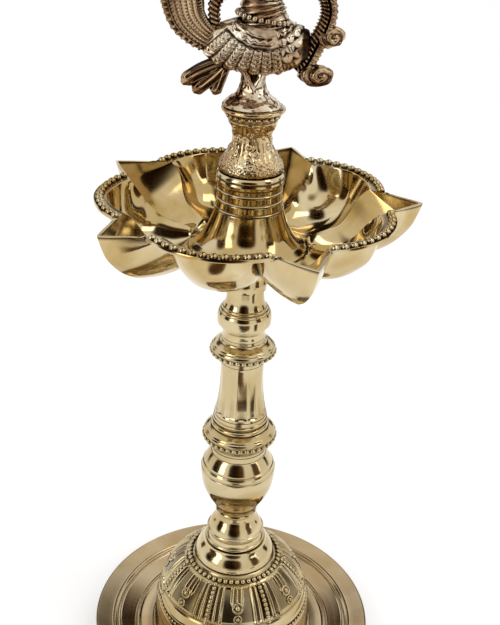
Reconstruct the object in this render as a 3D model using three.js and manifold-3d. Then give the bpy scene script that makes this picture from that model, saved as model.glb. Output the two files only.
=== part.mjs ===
// A standing oil lamp in brass: a dished base, a turned stem, a bowl with five wick beaks, and a crested bird.
// Millimetres, +Z up. The origin is on the table, on the lamp's axis, and the bird faces +X.
// All sections are stacked on one threaded tie rod, which a nut under the base pulls tight.
import * as THREE from 'three';
import { mergeVertices } from 'three/addons/utils/BufferGeometryUtils.js';
import Module from 'manifold-3d';

const wasm = await Module();
wasm.setup();

// Clearance between faces that touch.
const GAP = 0.3;

// Tie rod and its fasteners.
const ROD_RADIUS = 4;
const BORE_RADIUS = 4.6;
const ROD_BOTTOM = 0.8;
const THREAD_DEPTH = 20;
const NUT_ACROSS_FLATS = 13;
const NUT_HEIGHT = 4;
const LOCK_NUT_HEIGHT = 6.5;
const WASHER_RADIUS = 12;
const WASHER_THICKNESS = 1.2;

// Spigot on the top of each section, and the recess above it.
const SPIGOT_RADIUS = 7.4;
const SPIGOT_HEIGHT = 2.4;
const RECESS_RADIUS = SPIGOT_RADIUS + 0.4;
const RECESS_DEPTH = SPIGOT_HEIGHT + GAP;

// Base.
const PLATE_RADIUS = 88;
const PLATE_RIM_HEIGHT = 15.8;
const PLATE_WEB_TOP = 9.5;
const PLATE_WEB_BOTTOM = 6.8;
const DOME_RADIUS = 50.2;
const DOME_TOP = 66.6;

// Heights of the stacked sections above the dome.
const COLLAR_HEIGHT = 11.4;
const FOOT_HEIGHT = 27.2;
const BULB_HEIGHT = 41.5;
const LOWER_KNOP_HEIGHT = 23.1;
const SHAFT_HEIGHT = 34.3;
const UPPER_KNOP_HEIGHT = 16.1;
const NECK_HEIGHT = 29.1;
const SHAFT_FLUTES = 14;
const FLUTE_DEPTH = 0.7;

// Bowl.
const BEAK_COUNT = 5;
const BEAK_REACH = 92;
const BOWL_WALL = 1.5;
const BOWL_BOSS_RADIUS = 11.4;
const BOWL_DEPTH_TO_BOSS = 51.4;
const BOWL_TUBE_RADIUS = 9;
const BOWL_HUB_RADIUS = 32.1;
const HUB_DEPTH = 27;
const HUB_FLOOR_DEPTH = 29;
const LOBE_CENTRE = 32.9;
const LOBE_RADIUS = 48.4;
const FLANGE_WIDTH = 6.6;

// Bell over the bowl's middle, and the bird's pedestal.
const BELL_HEIGHT = 42.7;
const BELL_FOOT_RADIUS = 31.7;
const PEDESTAL_HEIGHT = 33.8;
const PEDESTAL_RADIUS = 16.2;

// Round sections have this many sides.
const STEM_SIDES = 20;
const WIDE_SIDES = 32;

// Solids, cuts and materials

function material(color, roughness) {
  return new THREE.MeshStandardMaterial({ color, roughness, metalness: 1 });
}

function named(name, geometry, look, z = 0) {
  const mesh = new THREE.Mesh(geometry, look);
  mesh.name = name;
  mesh.position.z = z;
  return mesh;
}

function bare(geometry) {
  const copy = geometry.clone();
  copy.deleteAttribute('normal');
  copy.deleteAttribute('uv');
  return mergeVertices(copy, 1e-4);
}

function solidOf(geometry) {
  const merged = bare(geometry);
  return new wasm.Manifold(
    new wasm.Mesh({
      numProp: 3,
      vertProperties: new Float32Array(merged.attributes.position.array),
      triVerts: new Uint32Array(merged.index.array),
    }),
  );
}

function geometryOf(solid) {
  const mesh = solid.getMesh();
  const geometry = new THREE.BufferGeometry();
  geometry.setAttribute('position', new THREE.BufferAttribute(mesh.vertProperties, 3));
  geometry.setIndex(new THREE.BufferAttribute(mesh.triVerts, 1));
  geometry.computeVertexNormals();
  return geometry;
}

// Joins the pieces, then cuts away every neighbour.
function fitted(pieces, neighbours = []) {
  let solid = solidOf(pieces[0]);
  for (const piece of pieces.slice(1)) {
    solid = solid.add(solidOf(piece));
  }
  for (const neighbour of neighbours) {
    solid = solid.subtract(solidOf(neighbour));
  }
  return geometryOf(solid);
}

// Turns a closed outline of [radius, height] points about the Z axis.
function turned(outline, sides) {
  const points = outline.map(([radius, height]) => new THREE.Vector2(radius, height));
  return new THREE.LatheGeometry([...points, points[0]], sides).rotateX(Math.PI / 2);
}

// A turned section: the outside runs from its bottom edge to its top edge. It has a recess below,
// a spigot above, and the bore for the tie rod.
function section(outside, height) {
  return turned(
    [
      [BORE_RADIUS, RECESS_DEPTH],
      [RECESS_RADIUS, RECESS_DEPTH],
      [RECESS_RADIUS, 0],
      ...outside,
      [SPIGOT_RADIUS, height],
      [SPIGOT_RADIUS, height + SPIGOT_HEIGHT],
      [BORE_RADIUS, height + SPIGOT_HEIGHT],
    ],
    STEM_SIDES,
  );
}

// Closes a grid of point rings into a solid: every ring is joined to the next, and the ends are
// capped with a middle point. Without caps, the last ring joins the first.
function skinned(rings, caps = null) {
  const count = rings[0].length;
  const vertices = rings.flat();
  const faces = [];
  const bands = caps ? rings.length - 1 : rings.length;
  for (let i = 0; i < bands; i++) {
    const low = i * count;
    const high = ((i + 1) % rings.length) * count;
    for (let j = 0; j < count; j++) {
      const next = (j + 1) % count;
      faces.push(low + j, low + next, high + next);
      faces.push(low + j, high + next, high + j);
    }
  }
  if (caps) {
    const first = vertices.push(caps[0]) - 1;
    const last = vertices.push(caps[1]) - 1;
    const top = (rings.length - 1) * count;
    for (let j = 0; j < count; j++) {
      const next = (j + 1) % count;
      faces.push(first, next, j);
      faces.push(last, top + j, top + next);
    }
  }
  const geometry = new THREE.BufferGeometry();
  geometry.setAttribute('position', new THREE.Float32BufferAttribute(vertices.flat(), 3));
  geometry.setIndex(faces);
  geometry.computeVertexNormals();
  return geometry;
}

// A body with oval sections along a line in the XZ plane. A station is [x, z, half depth, half width],
// where the depth lies in the plane and the width is along Y. It can be grown on all sides.
function lofted(stations, grow = 0, sides = 10) {
  const rings = [];
  const ends = [];
  stations.forEach(([x, z, depth, width], i) => {
    const before = stations[Math.max(i - 1, 0)];
    const after = stations[Math.min(i + 1, stations.length - 1)];
    const along = new THREE.Vector2(after[0] - before[0], after[1] - before[1]).normalize();
    const end = i === 0 ? -grow : i === stations.length - 1 ? grow : 0;
    const centre = [x + along.x * end, z + along.y * end];
    const ring = [];
    for (let j = 0; j < sides; j++) {
      const angle = (2 * Math.PI * j) / sides;
      const out = (depth + grow) * Math.cos(angle);
      ring.push([centre[0] + along.y * out, (width + grow) * Math.sin(angle), centre[1] - along.x * out]);
    }
    rings.push(ring);
    ends.push([centre[0], 0, centre[1]]);
  });
  return skinned(rings, [ends[0], ends[ends.length - 1]]);
}

// Base plate: a dished saucer on a foot ring, with two raised lines and a ring that centres the dome

function basePlate() {
  return turned(
    [
      [BORE_RADIUS, PLATE_WEB_BOTTOM],
      [57, PLATE_WEB_BOTTOM],
      [58.5, 0],
      [64, 0],
      [66, 7.4],
      [PLATE_RADIUS - 1.6, PLATE_RIM_HEIGHT - 2.4],
      [PLATE_RADIUS, PLATE_RIM_HEIGHT - 1.6],
      [PLATE_RADIUS, PLATE_RIM_HEIGHT - 0.5],
      [PLATE_RADIUS - 0.8, PLATE_RIM_HEIGHT],
      [75, 13.1],
      [74.2, 13.6],
      [73.4, 12.8],
      [62.4, 10],
      [61.6, 10.4],
      [60.8, 9.8],
      [53, PLATE_WEB_TOP],
      [45, PLATE_WEB_TOP],
      [45, 11.5],
      [43, 11.5],
      [43, PLATE_WEB_TOP],
      [BORE_RADIUS, PLATE_WEB_TOP],
    ],
    WIDE_SIDES + 4,
  );
}

// Dome: a hollow casting that stands on the plate

function baseDome() {
  return turned(
    [
      [46.2, PLATE_WEB_TOP + GAP],
      [DOME_RADIUS + 1.4, PLATE_WEB_TOP + GAP],
      [DOME_RADIUS + 1.2, 11.4],
      [DOME_RADIUS, 13.2],
      [49.7, 20.2],
      [48.9, 28.2],
      [47.5, 36.1],
      [45.6, 43.1],
      [42.7, 49.3],
      [39.2, 54.6],
      [35.2, 59],
      [30.8, 62.9],
      [25.8, DOME_TOP],
      [SPIGOT_RADIUS, DOME_TOP],
      [SPIGOT_RADIUS, DOME_TOP + SPIGOT_HEIGHT],
      [BORE_RADIUS, DOME_TOP + SPIGOT_HEIGHT],
      [BORE_RADIUS, DOME_TOP - 4],
      [26, DOME_TOP - 4],
      [33.2, 56.7],
      [40.2, 47.7],
      [44.6, 35.4],
      [46.7, 20],
    ],
    WIDE_SIDES,
  );
}

// Stem sections, each measured from its own bottom

const collarOutside = [
  [23.6, 0],
  [24.5, 0.8],
  [24.4, 2.2],
  [23.2, 5.2],
  [21.2, 8.2],
  [18.4, COLLAR_HEIGHT],
];

const footOutside = [
  [17.2, 0],
  [17.9, 0.8],
  [17.7, 1.8],
  [16.7, 2.6],
  [16.2, 4.4],
  [16.4, 6.4],
  [17.4, 8],
  [17.2, 9],
  [15.6, 11.6],
  [14.4, 13.8],
  [13, 15.8],
  [12.1, 17.8],
  [11.6, 20.4],
  [12.3, 21.2],
  [12.6, 22.1],
  [12.3, 22.9],
  [13, 24.8],
  [13.8, FOOT_HEIGHT],
];

const bulbOutside = [
  [13.7, 0],
  [16.2, 4],
  [18.1, 7.3],
  [19.7, 11],
  [21, 15],
  [21.9, 20.5],
  [22.2, 25],
  [21.5, 28.6],
  [20.3, 31.6],
  [19, 34],
  [17.5, 36.4],
  [16.2, 38],
  [16.1, 39.6],
  [16.3, BULB_HEIGHT],
];

const lowerKnopOutside = [
  [16.2, 0],
  [16.6, 2.2],
  [17.3, 3.2],
  [19.8, 4.6],
  [20.9, 5.8],
  [21.6, 7.8],
  [21.6, 9],
  [21.2, 10.8],
  [20.2, 12.4],
  [18.2, 14],
  [16.5, 14.9],
  [16.4, 16.6],
  [15.9, 17.7],
  [15.2, 18.2],
  [15.4, 19.2],
  [15.6, 20.8],
  [15.4, LOWER_KNOP_HEIGHT],
];

const upperKnopOutside = [
  [12.5, 0],
  [12.7, 2.8],
  [14.2, 4],
  [17.6, 5],
  [18.4, 5.8],
  [18.7, 7],
  [18.5, 8.6],
  [17.8, 10],
  [16, 11.8],
  [13.9, 13.2],
  [12.6, 14.6],
  [12.3, UPPER_KNOP_HEIGHT],
];

const neckOutside = [
  [12.3, 0],
  [12.1, 1.6],
  [12.2, 3.4],
  [12.9, 5.6],
  [13.6, 7.6],
  [14.9, 8.1],
  [15.1, 9],
  [15.1, 12.6],
  [14.9, 14.2],
  [14.3, 15.6],
  [13.4, 17],
  [12.9, 18.3],
  [11.8, 19.6],
  [11, 20.9],
  [10.6, 22.8],
  [10.4, 25],
  [10.2, NECK_HEIGHT],
];

// Fluted shaft: hollow flutes run up a waisted column

function flutedShaft() {
  const waist = [
    [15.1, 0],
    [14.8, 2],
    [14.3, 4.2],
    [13.7, 7.2],
    [13.2, 10.6],
    [12.8, 14],
    [12.5, 19],
    [12.3, 26],
    [12.5, SHAFT_HEIGHT],
  ];
  const sides = 4 * SHAFT_FLUTES;
  const ring = (radius, height, depth) =>
    Array.from({ length: sides }, (_, j) => {
      const angle = (2 * Math.PI * j) / sides;
      const hollow = depth * (0.5 - 0.5 * Math.cos(SHAFT_FLUTES * angle));
      return [(radius - hollow) * Math.cos(angle), (radius - hollow) * Math.sin(angle), height];
    });
  return skinned([
    ring(BORE_RADIUS, RECESS_DEPTH, 0),
    ring(RECESS_RADIUS, RECESS_DEPTH, 0),
    ring(RECESS_RADIUS, 0, 0),
    ...waist.map(([radius, height]) => ring(radius, height, FLUTE_DEPTH)),
    ring(SPIGOT_RADIUS, SHAFT_HEIGHT, 0),
    ring(SPIGOT_RADIUS, SHAFT_HEIGHT + SPIGOT_HEIGHT, 0),
    ring(BORE_RADIUS, SHAFT_HEIGHT + SPIGOT_HEIGHT, 0),
  ]);
}

// Bowl: five round lobes with a pointed wick beak between each two, in one thin casting.
// Heights are measured down from the rim. Row by row from the hub to the rim, each line gives the
// beak's floor as [reach, depth], the ridge between beak and lobe as [along the beak, beside it, depth],
// and the lobe's middle as [reach, depth].

const bowlRows = [
  { floor: [BOWL_HUB_RADIUS, HUB_DEPTH], ridge: [31.6, 5.8, HUB_DEPTH], lobe: [BOWL_HUB_RADIUS, HUB_DEPTH] },
  { floor: [35.2, 25.5], ridge: [33.6, 6.4, 23.3], lobe: [34.2, 28.2] },
  { floor: [44, 27.6], ridge: [43.1, 9.7, 20.6], lobe: [39, 28.9] },
  { floor: [56, 28.6], ridge: [50, 12, 18.5], lobe: [48, 28] },
  { floor: [67.6, 26.9], ridge: [55, 14.6, 13.5], lobe: [57, 25.9] },
  { floor: [75.4, 23.1], ridge: [58.6, 17.4, 7.4], lobe: [65, 21] },
  { floor: [81.4, 17.9], ridge: [62, 18.4, 3.2], lobe: [71.6, 13.2] },
  { floor: [86.6, 10.8], ridge: [66, 18.3, 0], lobe: [LOBE_CENTRE + LOBE_RADIUS - FLANGE_WIDTH, 0] },
  { floor: [BEAK_REACH - BOWL_WALL, 0], ridge: [73.6, 12.5, 0], lobe: [LOBE_CENTRE + LOBE_RADIUS, 0] },
];

function oilBowl() {
  const halfSector = Math.PI / BEAK_COUNT;
  const beakShares = [0, 0.5];
  const lobeShares = [0, 0.25, 0.5, 0.75, 1];
  const lobeAlong = Math.cos(halfSector);
  const lobeAside = Math.sin(halfSector);
  // Points of one half sector, from the beak's middle to the lobe's middle.
  const halfRow = ({ floor, ridge, lobe }, row) => {
    const points = beakShares.map((share) => [
      THREE.MathUtils.lerp(floor[0], ridge[0], share),
      share * ridge[1],
      THREE.MathUtils.lerp(floor[1], ridge[2], share ** 1.3),
    ]);
    // Inner rows sweep about the bowl's middle, outer rows about the lobe's middle.
    const centre = row < 3 ? 0 : LOBE_CENTRE;
    const along = ridge[0] * lobeAlong + ridge[1] * lobeAside - centre;
    const aside = ridge[0] * lobeAside - ridge[1] * lobeAlong;
    for (const share of lobeShares) {
      const radius = THREE.MathUtils.lerp(Math.hypot(along, aside), lobe[0] - centre, share);
      const turn = Math.atan2(aside, along) * (1 - share);
      const x = centre + radius * Math.cos(turn);
      const y = radius * Math.sin(turn);
      // The lobe's section is close to a half circle, so it drops quickly beside the ridge.
      const rise = 1 - Math.sqrt(1 - 0.94 * (1 - share) ** 2);
      const depth = lobe[1] + ((ridge[2] - lobe[1]) * rise) / (1 - Math.sqrt(0.06));
      points.push([x * lobeAlong + y * lobeAside, x * lobeAside - y * lobeAlong, depth]);
    }
    return points;
  };
  // Mirrors and turns the half sector round the whole bowl.
  const wholeRow = (half) => {
    const ring = [];
    for (let beak = 0; beak < BEAK_COUNT; beak++) {
      const angle = beak * 2 * halfSector;
      const place = ([x, y, depth], side) => [
        x * Math.cos(angle) - side * y * Math.sin(angle),
        x * Math.sin(angle) + side * y * Math.cos(angle),
        -depth,
      ];
      const mirrored = half.slice(1, -1).reverse();
      ring.push(...mirrored.map((point) => place(point, -1)));
      ring.push(...half.map((point) => place(point, 1)));
    }
    return ring;
  };
  const inside = bowlRows.map((row, index) => wholeRow(halfRow(row, index)));
  const count = inside[0].length;
  const edge = inside.length - 1;
  const at = (row, column) => new THREE.Vector3(...inside[row][(column + count) % count]);
  // The outside is the inside moved out by the wall's thickness.
  const outside = inside.map((ring, row) =>
    ring.map((point, column) => {
      const across = at(row, column + 1).sub(at(row, column - 1));
      const outward = at(Math.min(row + 1, edge), column).sub(at(Math.max(row - 1, 0), column));
      const normal = outward.cross(across).normalize();
      if (row === edge) {
        const flat = new THREE.Vector3(normal.x, normal.y, 0);
        const onBeak = flat.length() > 0.35;
        normal.copy(onBeak ? flat.normalize() : new THREE.Vector3(0, 0, 1));
      }
      return new THREE.Vector3(...point).addScaledVector(normal, -BOWL_WALL).toArray();
    }),
  );
  const circle = (radius, depth) =>
    inside[0].map(([x, y]) => {
      const angle = Math.atan2(y, x);
      return [radius * Math.cos(angle), radius * Math.sin(angle), -depth];
    });
  const rings = [
    circle(BORE_RADIUS, 0),
    circle(BOWL_TUBE_RADIUS, 0),
    circle(BOWL_TUBE_RADIUS, HUB_FLOOR_DEPTH),
    circle(26, HUB_FLOOR_DEPTH),
    ...inside,
    ...outside.slice(1).reverse(),
    circle(21, 32.6),
    circle(BOWL_BOSS_RADIUS + 1, 33.8),
    circle(BOWL_BOSS_RADIUS, BOWL_DEPTH_TO_BOSS),
    circle(RECESS_RADIUS, BOWL_DEPTH_TO_BOSS),
    circle(RECESS_RADIUS, BOWL_DEPTH_TO_BOSS - RECESS_DEPTH),
    circle(BORE_RADIUS, BOWL_DEPTH_TO_BOSS - RECESS_DEPTH),
  ];
  return skinned(rings.reverse());
}

// Bell: a hollow shell over the bowl's middle. Its crown sits on the bowl's tube and holds the lock nut

function centreBell() {
  const crown = 24;
  const nutWell = 8;
  return turned(
    [
      [BELL_FOOT_RADIUS - 2.6, 0],
      [BELL_FOOT_RADIUS, 0],
      [BELL_FOOT_RADIUS - 0.4, 1],
      [27.3, 3.4],
      [22.9, 8.9],
      [20.2, 15],
      [18.1, 20.6],
      [17.3, 26],
      [17.2, 36.5],
      [17.8, 38],
      [17.8, 40.4],
      [17.2, BELL_HEIGHT],
      [BOWL_TUBE_RADIUS + 1, BELL_HEIGHT],
      [BOWL_TUBE_RADIUS + 1, BELL_HEIGHT - nutWell],
      [BORE_RADIUS, BELL_HEIGHT - nutWell],
      [BORE_RADIUS, crown + RECESS_DEPTH + GAP],
      [BOWL_TUBE_RADIUS + GAP, crown + RECESS_DEPTH + GAP],
      [BOWL_TUBE_RADIUS + GAP, crown],
      [14.8, crown],
      [15.6, 20],
      [20.6, 8.2],
      [25.2, 3],
    ],
    STEM_SIDES + 8,
  );
}

// Pedestal of the bird, with a blind threaded hole for the tie rod

function pedestal() {
  return turned(
    [
      [0, THREAD_DEPTH],
      [ROD_RADIUS + GAP, THREAD_DEPTH],
      [ROD_RADIUS + GAP, 0],
      [16, 0],
      [16.6, 1.6],
      [16.6, 3.4],
      [14.6, 7],
      [12, 11],
      [10.3, 15],
      [10, 17.6],
      [10.6, 21.6],
      [12.2, 25.4],
      [13.8, 28],
      [14.2, 30.6],
      [PEDESTAL_RADIUS, 31.4],
      [PEDESTAL_RADIUS, PEDESTAL_HEIGHT],
      [0, PEDESTAL_HEIGHT],
    ],
    STEM_SIDES,
  );
}

// Bird. Stations are measured from the pedestal's top

const perchStations = [
  [-0.8, GAP, 15.4, 14.4],
  [-0.8, 3.2, 12.6, 11.5],
  [-0.8, 5.4, 9.5, 8.8],
  [-0.8, 7.5, 7.7, 7.2],
  [-0.8, 11, 7, 6.5],
  [-0.8, 19, 7.3, 6.5],
];

const bodyStations = [
  [-25.5, 27.5, 4, 3.2],
  [-21.5, 28.5, 8.5, 7],
  [-15, 29.5, 11.8, 10],
  [-7, 30, 13.6, 12],
  [2, 29.8, 14.4, 12.6],
  [10, 30, 13.8, 12],
  [17, 31.8, 12.2, 9.8],
  [21.5, 35, 8.6, 6.6],
  [24.2, 37.3, 3.6, 2.8],
];

const headStations = [
  [3.5, 38, 12, 9.4],
  [2.2, 47, 11.2, 9],
  [1.9, 51, 10, 8.4],
  [2.3, 56, 8.3, 7.4],
  [4, 61.5, 7.2, 6.6],
  [7.4, 66.4, 7, 6.4],
  [12.2, 68.8, 6.6, 6],
  [16.6, 67.8, 5, 4.6],
  [20.2, 65, 3.3, 3.2],
  [23.6, 61, 2, 1.9],
  [25.6, 57.8, 0.9, 0.9],
];

const crestPlumes = [
  [
    [9, 71, 2, 1.8],
    [5.5, 78, 1.8, 1.6],
    [0.5, 83.5, 3.2, 2],
    [-2.5, 86.5, 1.6, 1.2],
  ],
  [
    [9.4, 71, 2, 1.8],
    [8.2, 80, 1.8, 1.6],
    [6.2, 87, 3.4, 2],
    [5.2, 91.5, 1.6, 1.2],
  ],
  [
    [9.8, 71, 2, 1.8],
    [11, 79.5, 1.8, 1.6],
    [12.8, 85.5, 3.2, 2],
    [13.8, 89.5, 1.6, 1.2],
  ],
];

const tailStations = [
  [-16, 31, 6.6, 5],
  [-22.4, 32.2, 6.6, 4.6],
  [-28.4, 36, 8, 4.6],
  [-33.6, 42.2, 9.6, 4.8],
  [-35.8, 49.6, 10.6, 5],
  [-37.4, 59.4, 11, 5],
  [-37, 70, 11, 4.8],
  [-33.6, 80.6, 10.8, 4.6],
  [-27.2, 89.2, 10, 4.2],
  [-18.6, 94.2, 8, 3.4],
  [-11.4, 94.8, 5, 2.4],
  [-6.4, 92.6, 2, 1.2],
];

const curlStations = [
  [-20, 36, 3, 2.8],
  [-20.8, 43, 2.7, 2.6],
  [-20.6, 49, 3, 2.8],
  [-18.6, 54, 4.4, 3.2],
  [-14.8, 56.8, 4.8, 3.2],
  [-11.2, 56, 3.4, 2.6],
  [-9.6, 53.6, 1.4, 1.4],
];

const tuftFeathers = [
  [
    [-16, 21, 4.5, 4.5],
    [-22, 18.5, 4.8, 4.2],
    [-28.5, 15.5, 4.6, 3.8],
    [-33.5, 12, 3.8, 3.2],
    [-36, 9.8, 1.6, 1.6],
  ],
  [
    [-15, 18, 4.5, 4.5],
    [-20, 14.5, 4.6, 4.2],
    [-25.5, 9.8, 4.2, 3.8],
    [-29, 6.8, 3, 2.8],
    [-30.4, 5.6, 1.2, 1.2],
  ],
  [
    [-15, 17, 4, 4],
    [-17.6, 11.6, 3.8, 3.8],
    [-19.2, 7, 3.4, 3.4],
    [-20, 4.6, 1.4, 1.4],
  ],
];

const scrollStations = [
  [20.6, 17, 3.6, 3.4],
  [24.4, 21.4, 4.8, 3.8],
  [27, 26.6, 4.9, 3.9],
  [29.6, 32.2, 4.8, 3.9],
  [32.4, 38, 4.6, 3.9],
  [34.3, 44.6, 4.3, 3.8],
  [34, 50.4, 4.2, 3.6],
  [31.4, 55.4, 3.8, 3.2],
  [28, 58.4, 2.8, 2.6],
  [24.4, 59.6, 1.8, 1.8],
];

const upperBudStations = [
  [29, 32.4, 3.2, 3.4],
  [33.5, 34, 4.6, 4.2],
  [38, 35.2, 4.8, 4],
  [41.6, 35.2, 3.2, 2.8],
  [43.2, 34.8, 1.2, 1.2],
];

const lowerBudStations = [
  [21.6, 18.6, 3.4, 3.6],
  [25.6, 16.8, 4.6, 4.2],
  [30.6, 15.8, 5.4, 4.6],
  [34.8, 16.4, 4.6, 4],
  [37.4, 17.4, 2.6, 2.4],
  [38.7, 18, 1.1, 1.1],
];

function birdPieces() {
  const body = lofted(bodyStations, 0, 14);
  const bodyRoom = lofted(bodyStations, GAP, 14);
  const perch = fitted([lofted(perchStations)], [bodyRoom]);
  const perchRoom = lofted(perchStations, GAP);
  const head = fitted([lofted(headStations)], [bodyRoom]);
  const headRoom = lofted(headStations, GAP);
  const crest = fitted(crestPlumes.map((plume) => lofted(plume, 0, 8)), [headRoom]);
  const tail = fitted([lofted(tailStations, 0, 12)], [bodyRoom]);
  const tailRoom = lofted(tailStations, GAP, 12);
  const curl = fitted([lofted(curlStations)], [bodyRoom, tailRoom]);
  const tuft = fitted(tuftFeathers.map((feather) => lofted(feather, 0, 8)), [bodyRoom, perchRoom]);
  const scroll = fitted([lofted(scrollStations)], [bodyRoom, headRoom]);
  const scrollRoom = lofted(scrollStations, GAP);
  const upperBud = fitted([lofted(upperBudStations)], [bodyRoom, scrollRoom]);
  const upperBudRoom = lofted(upperBudStations, GAP);
  const lowerBud = fitted([lofted(lowerBudStations)], [bodyRoom, scrollRoom, upperBudRoom]);
  return {
    bird_perch: perch,
    bird_body: body,
    bird_head: head,
    bird_crest: crest,
    bird_tail: tail,
    tail_curl: curl,
    tail_tuft: tuft,
    front_scroll: scroll,
    scroll_bud_upper: upperBud,
    scroll_bud_lower: lowerBud,
  };
}

// Fasteners

function hexNut(height) {
  const corner = NUT_ACROSS_FLATS / 2 / Math.cos(Math.PI / 6);
  const outline = new THREE.Shape();
  for (let side = 0; side < 6; side++) {
    const angle = (side * Math.PI) / 3;
    const place = [corner * Math.cos(angle), corner * Math.sin(angle)];
    if (side === 0) {
      outline.moveTo(...place);
    } else {
      outline.lineTo(...place);
    }
  }
  outline.closePath();
  outline.holes.push(new THREE.Path().absarc(0, 0, ROD_RADIUS + GAP, 0, 2 * Math.PI, true));
  return new THREE.ExtrudeGeometry(outline, { depth: height, bevelEnabled: false, curveSegments: 8 });
}

function washer() {
  const outline = [
    [BORE_RADIUS, 0],
    [WASHER_RADIUS, 0],
    [WASHER_RADIUS, WASHER_THICKNESS],
    [BORE_RADIUS, WASHER_THICKNESS],
  ];
  return turned(outline, STEM_SIDES);
}

// The stack, from the table up

const brass = material(0xc9a868, 0.18);
const antiqueBrass = material(0xa88a58, 0.34);
const steel = material(0x9a9a98, 0.35);
const lamp = new THREE.Group();

lamp.add(named('base_plate', basePlate(), brass));
lamp.add(named('base_dome', baseDome(), brass));

let level = DOME_TOP + GAP;
const sections = [
  ['dome_collar', section(collarOutside, COLLAR_HEIGHT), COLLAR_HEIGHT],
  ['stem_foot', section(footOutside, FOOT_HEIGHT), FOOT_HEIGHT],
  ['stem_bulb', section(bulbOutside, BULB_HEIGHT), BULB_HEIGHT],
  ['lower_knop', section(lowerKnopOutside, LOWER_KNOP_HEIGHT), LOWER_KNOP_HEIGHT],
  ['fluted_shaft', flutedShaft(), SHAFT_HEIGHT],
  ['upper_knop', section(upperKnopOutside, UPPER_KNOP_HEIGHT), UPPER_KNOP_HEIGHT],
  ['stem_neck', section(neckOutside, NECK_HEIGHT), NECK_HEIGHT],
];
for (const [name, geometry, height] of sections) {
  lamp.add(named(name, geometry, brass, level));
  level += height + GAP;
}

const rimLevel = level + BOWL_DEPTH_TO_BOSS;
const bellLevel = rimLevel - HUB_DEPTH + GAP;
const pedestalLevel = bellLevel + BELL_HEIGHT + GAP;
const birdLevel = pedestalLevel + PEDESTAL_HEIGHT;
lamp.add(named('oil_bowl', oilBowl(), brass, rimLevel));
lamp.add(named('centre_bell', centreBell(), brass, bellLevel));
lamp.add(named('finial_pedestal', pedestal(), antiqueBrass, pedestalLevel));
for (const [name, geometry] of Object.entries(birdPieces())) {
  lamp.add(named(name, geometry, antiqueBrass, birdLevel));
}

const rodTop = pedestalLevel + THREAD_DEPTH - 1;
const rod = turned(
  [
    [0, ROD_BOTTOM],
    [ROD_RADIUS, ROD_BOTTOM],
    [ROD_RADIUS, rodTop],
    [0, rodTop],
  ],
  12,
);
const washerLevel = PLATE_WEB_BOTTOM - GAP - WASHER_THICKNESS;
lamp.add(named('tie_rod', rod, steel));
lamp.add(named('base_washer', washer(), steel, washerLevel));
lamp.add(named('base_nut', hexNut(NUT_HEIGHT), steel, washerLevel - GAP - NUT_HEIGHT));
lamp.add(named('lock_nut', hexNut(LOCK_NUT_HEIGHT), steel, pedestalLevel - GAP - LOCK_NUT_HEIGHT));

export default lamp;
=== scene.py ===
import math

import bmesh
import bpy
from mathutils import Matrix, Vector, noise


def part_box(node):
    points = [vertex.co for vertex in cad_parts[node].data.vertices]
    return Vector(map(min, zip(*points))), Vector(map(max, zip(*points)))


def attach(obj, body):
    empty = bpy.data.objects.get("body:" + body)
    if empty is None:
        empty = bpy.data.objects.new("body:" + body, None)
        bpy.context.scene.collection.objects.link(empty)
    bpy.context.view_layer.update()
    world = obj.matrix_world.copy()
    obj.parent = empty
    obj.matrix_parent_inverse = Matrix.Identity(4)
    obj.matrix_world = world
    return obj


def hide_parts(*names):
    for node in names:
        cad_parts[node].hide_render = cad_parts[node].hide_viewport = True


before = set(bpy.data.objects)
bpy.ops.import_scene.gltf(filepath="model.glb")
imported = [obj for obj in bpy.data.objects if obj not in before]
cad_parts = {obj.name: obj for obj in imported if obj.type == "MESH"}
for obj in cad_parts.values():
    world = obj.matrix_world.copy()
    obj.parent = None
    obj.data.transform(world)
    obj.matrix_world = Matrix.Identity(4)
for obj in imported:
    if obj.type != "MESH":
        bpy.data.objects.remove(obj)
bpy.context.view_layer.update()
MM = 0.001

# Base plate.
# A round brass saucer, cast and then turned on a lathe: a thin rim, a shallow dish with two raised
# lines, and a foot ring underneath. The tie rod's nut clamps it from below.

PATCH_SCALE = 26.0
DEEP_TO = 0.34
PALE_FROM = 0.62
SMOOTHEST = 0.75
ROUGHEST = 1.35
MARK_SCALE = 900.0
MARK_STRENGTH = 0.035
MARK_HEIGHT = 0.2 * MM
DEEP_HOLLOW = 0.35
OPEN_FACE = 0.95
# The colour of dirt and painted shade in hollows.
GRIME_AND_SHADE = (0.024, 0.011, 0.004)
GRIME_AND_SHADE_DULLS = 0.16


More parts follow.
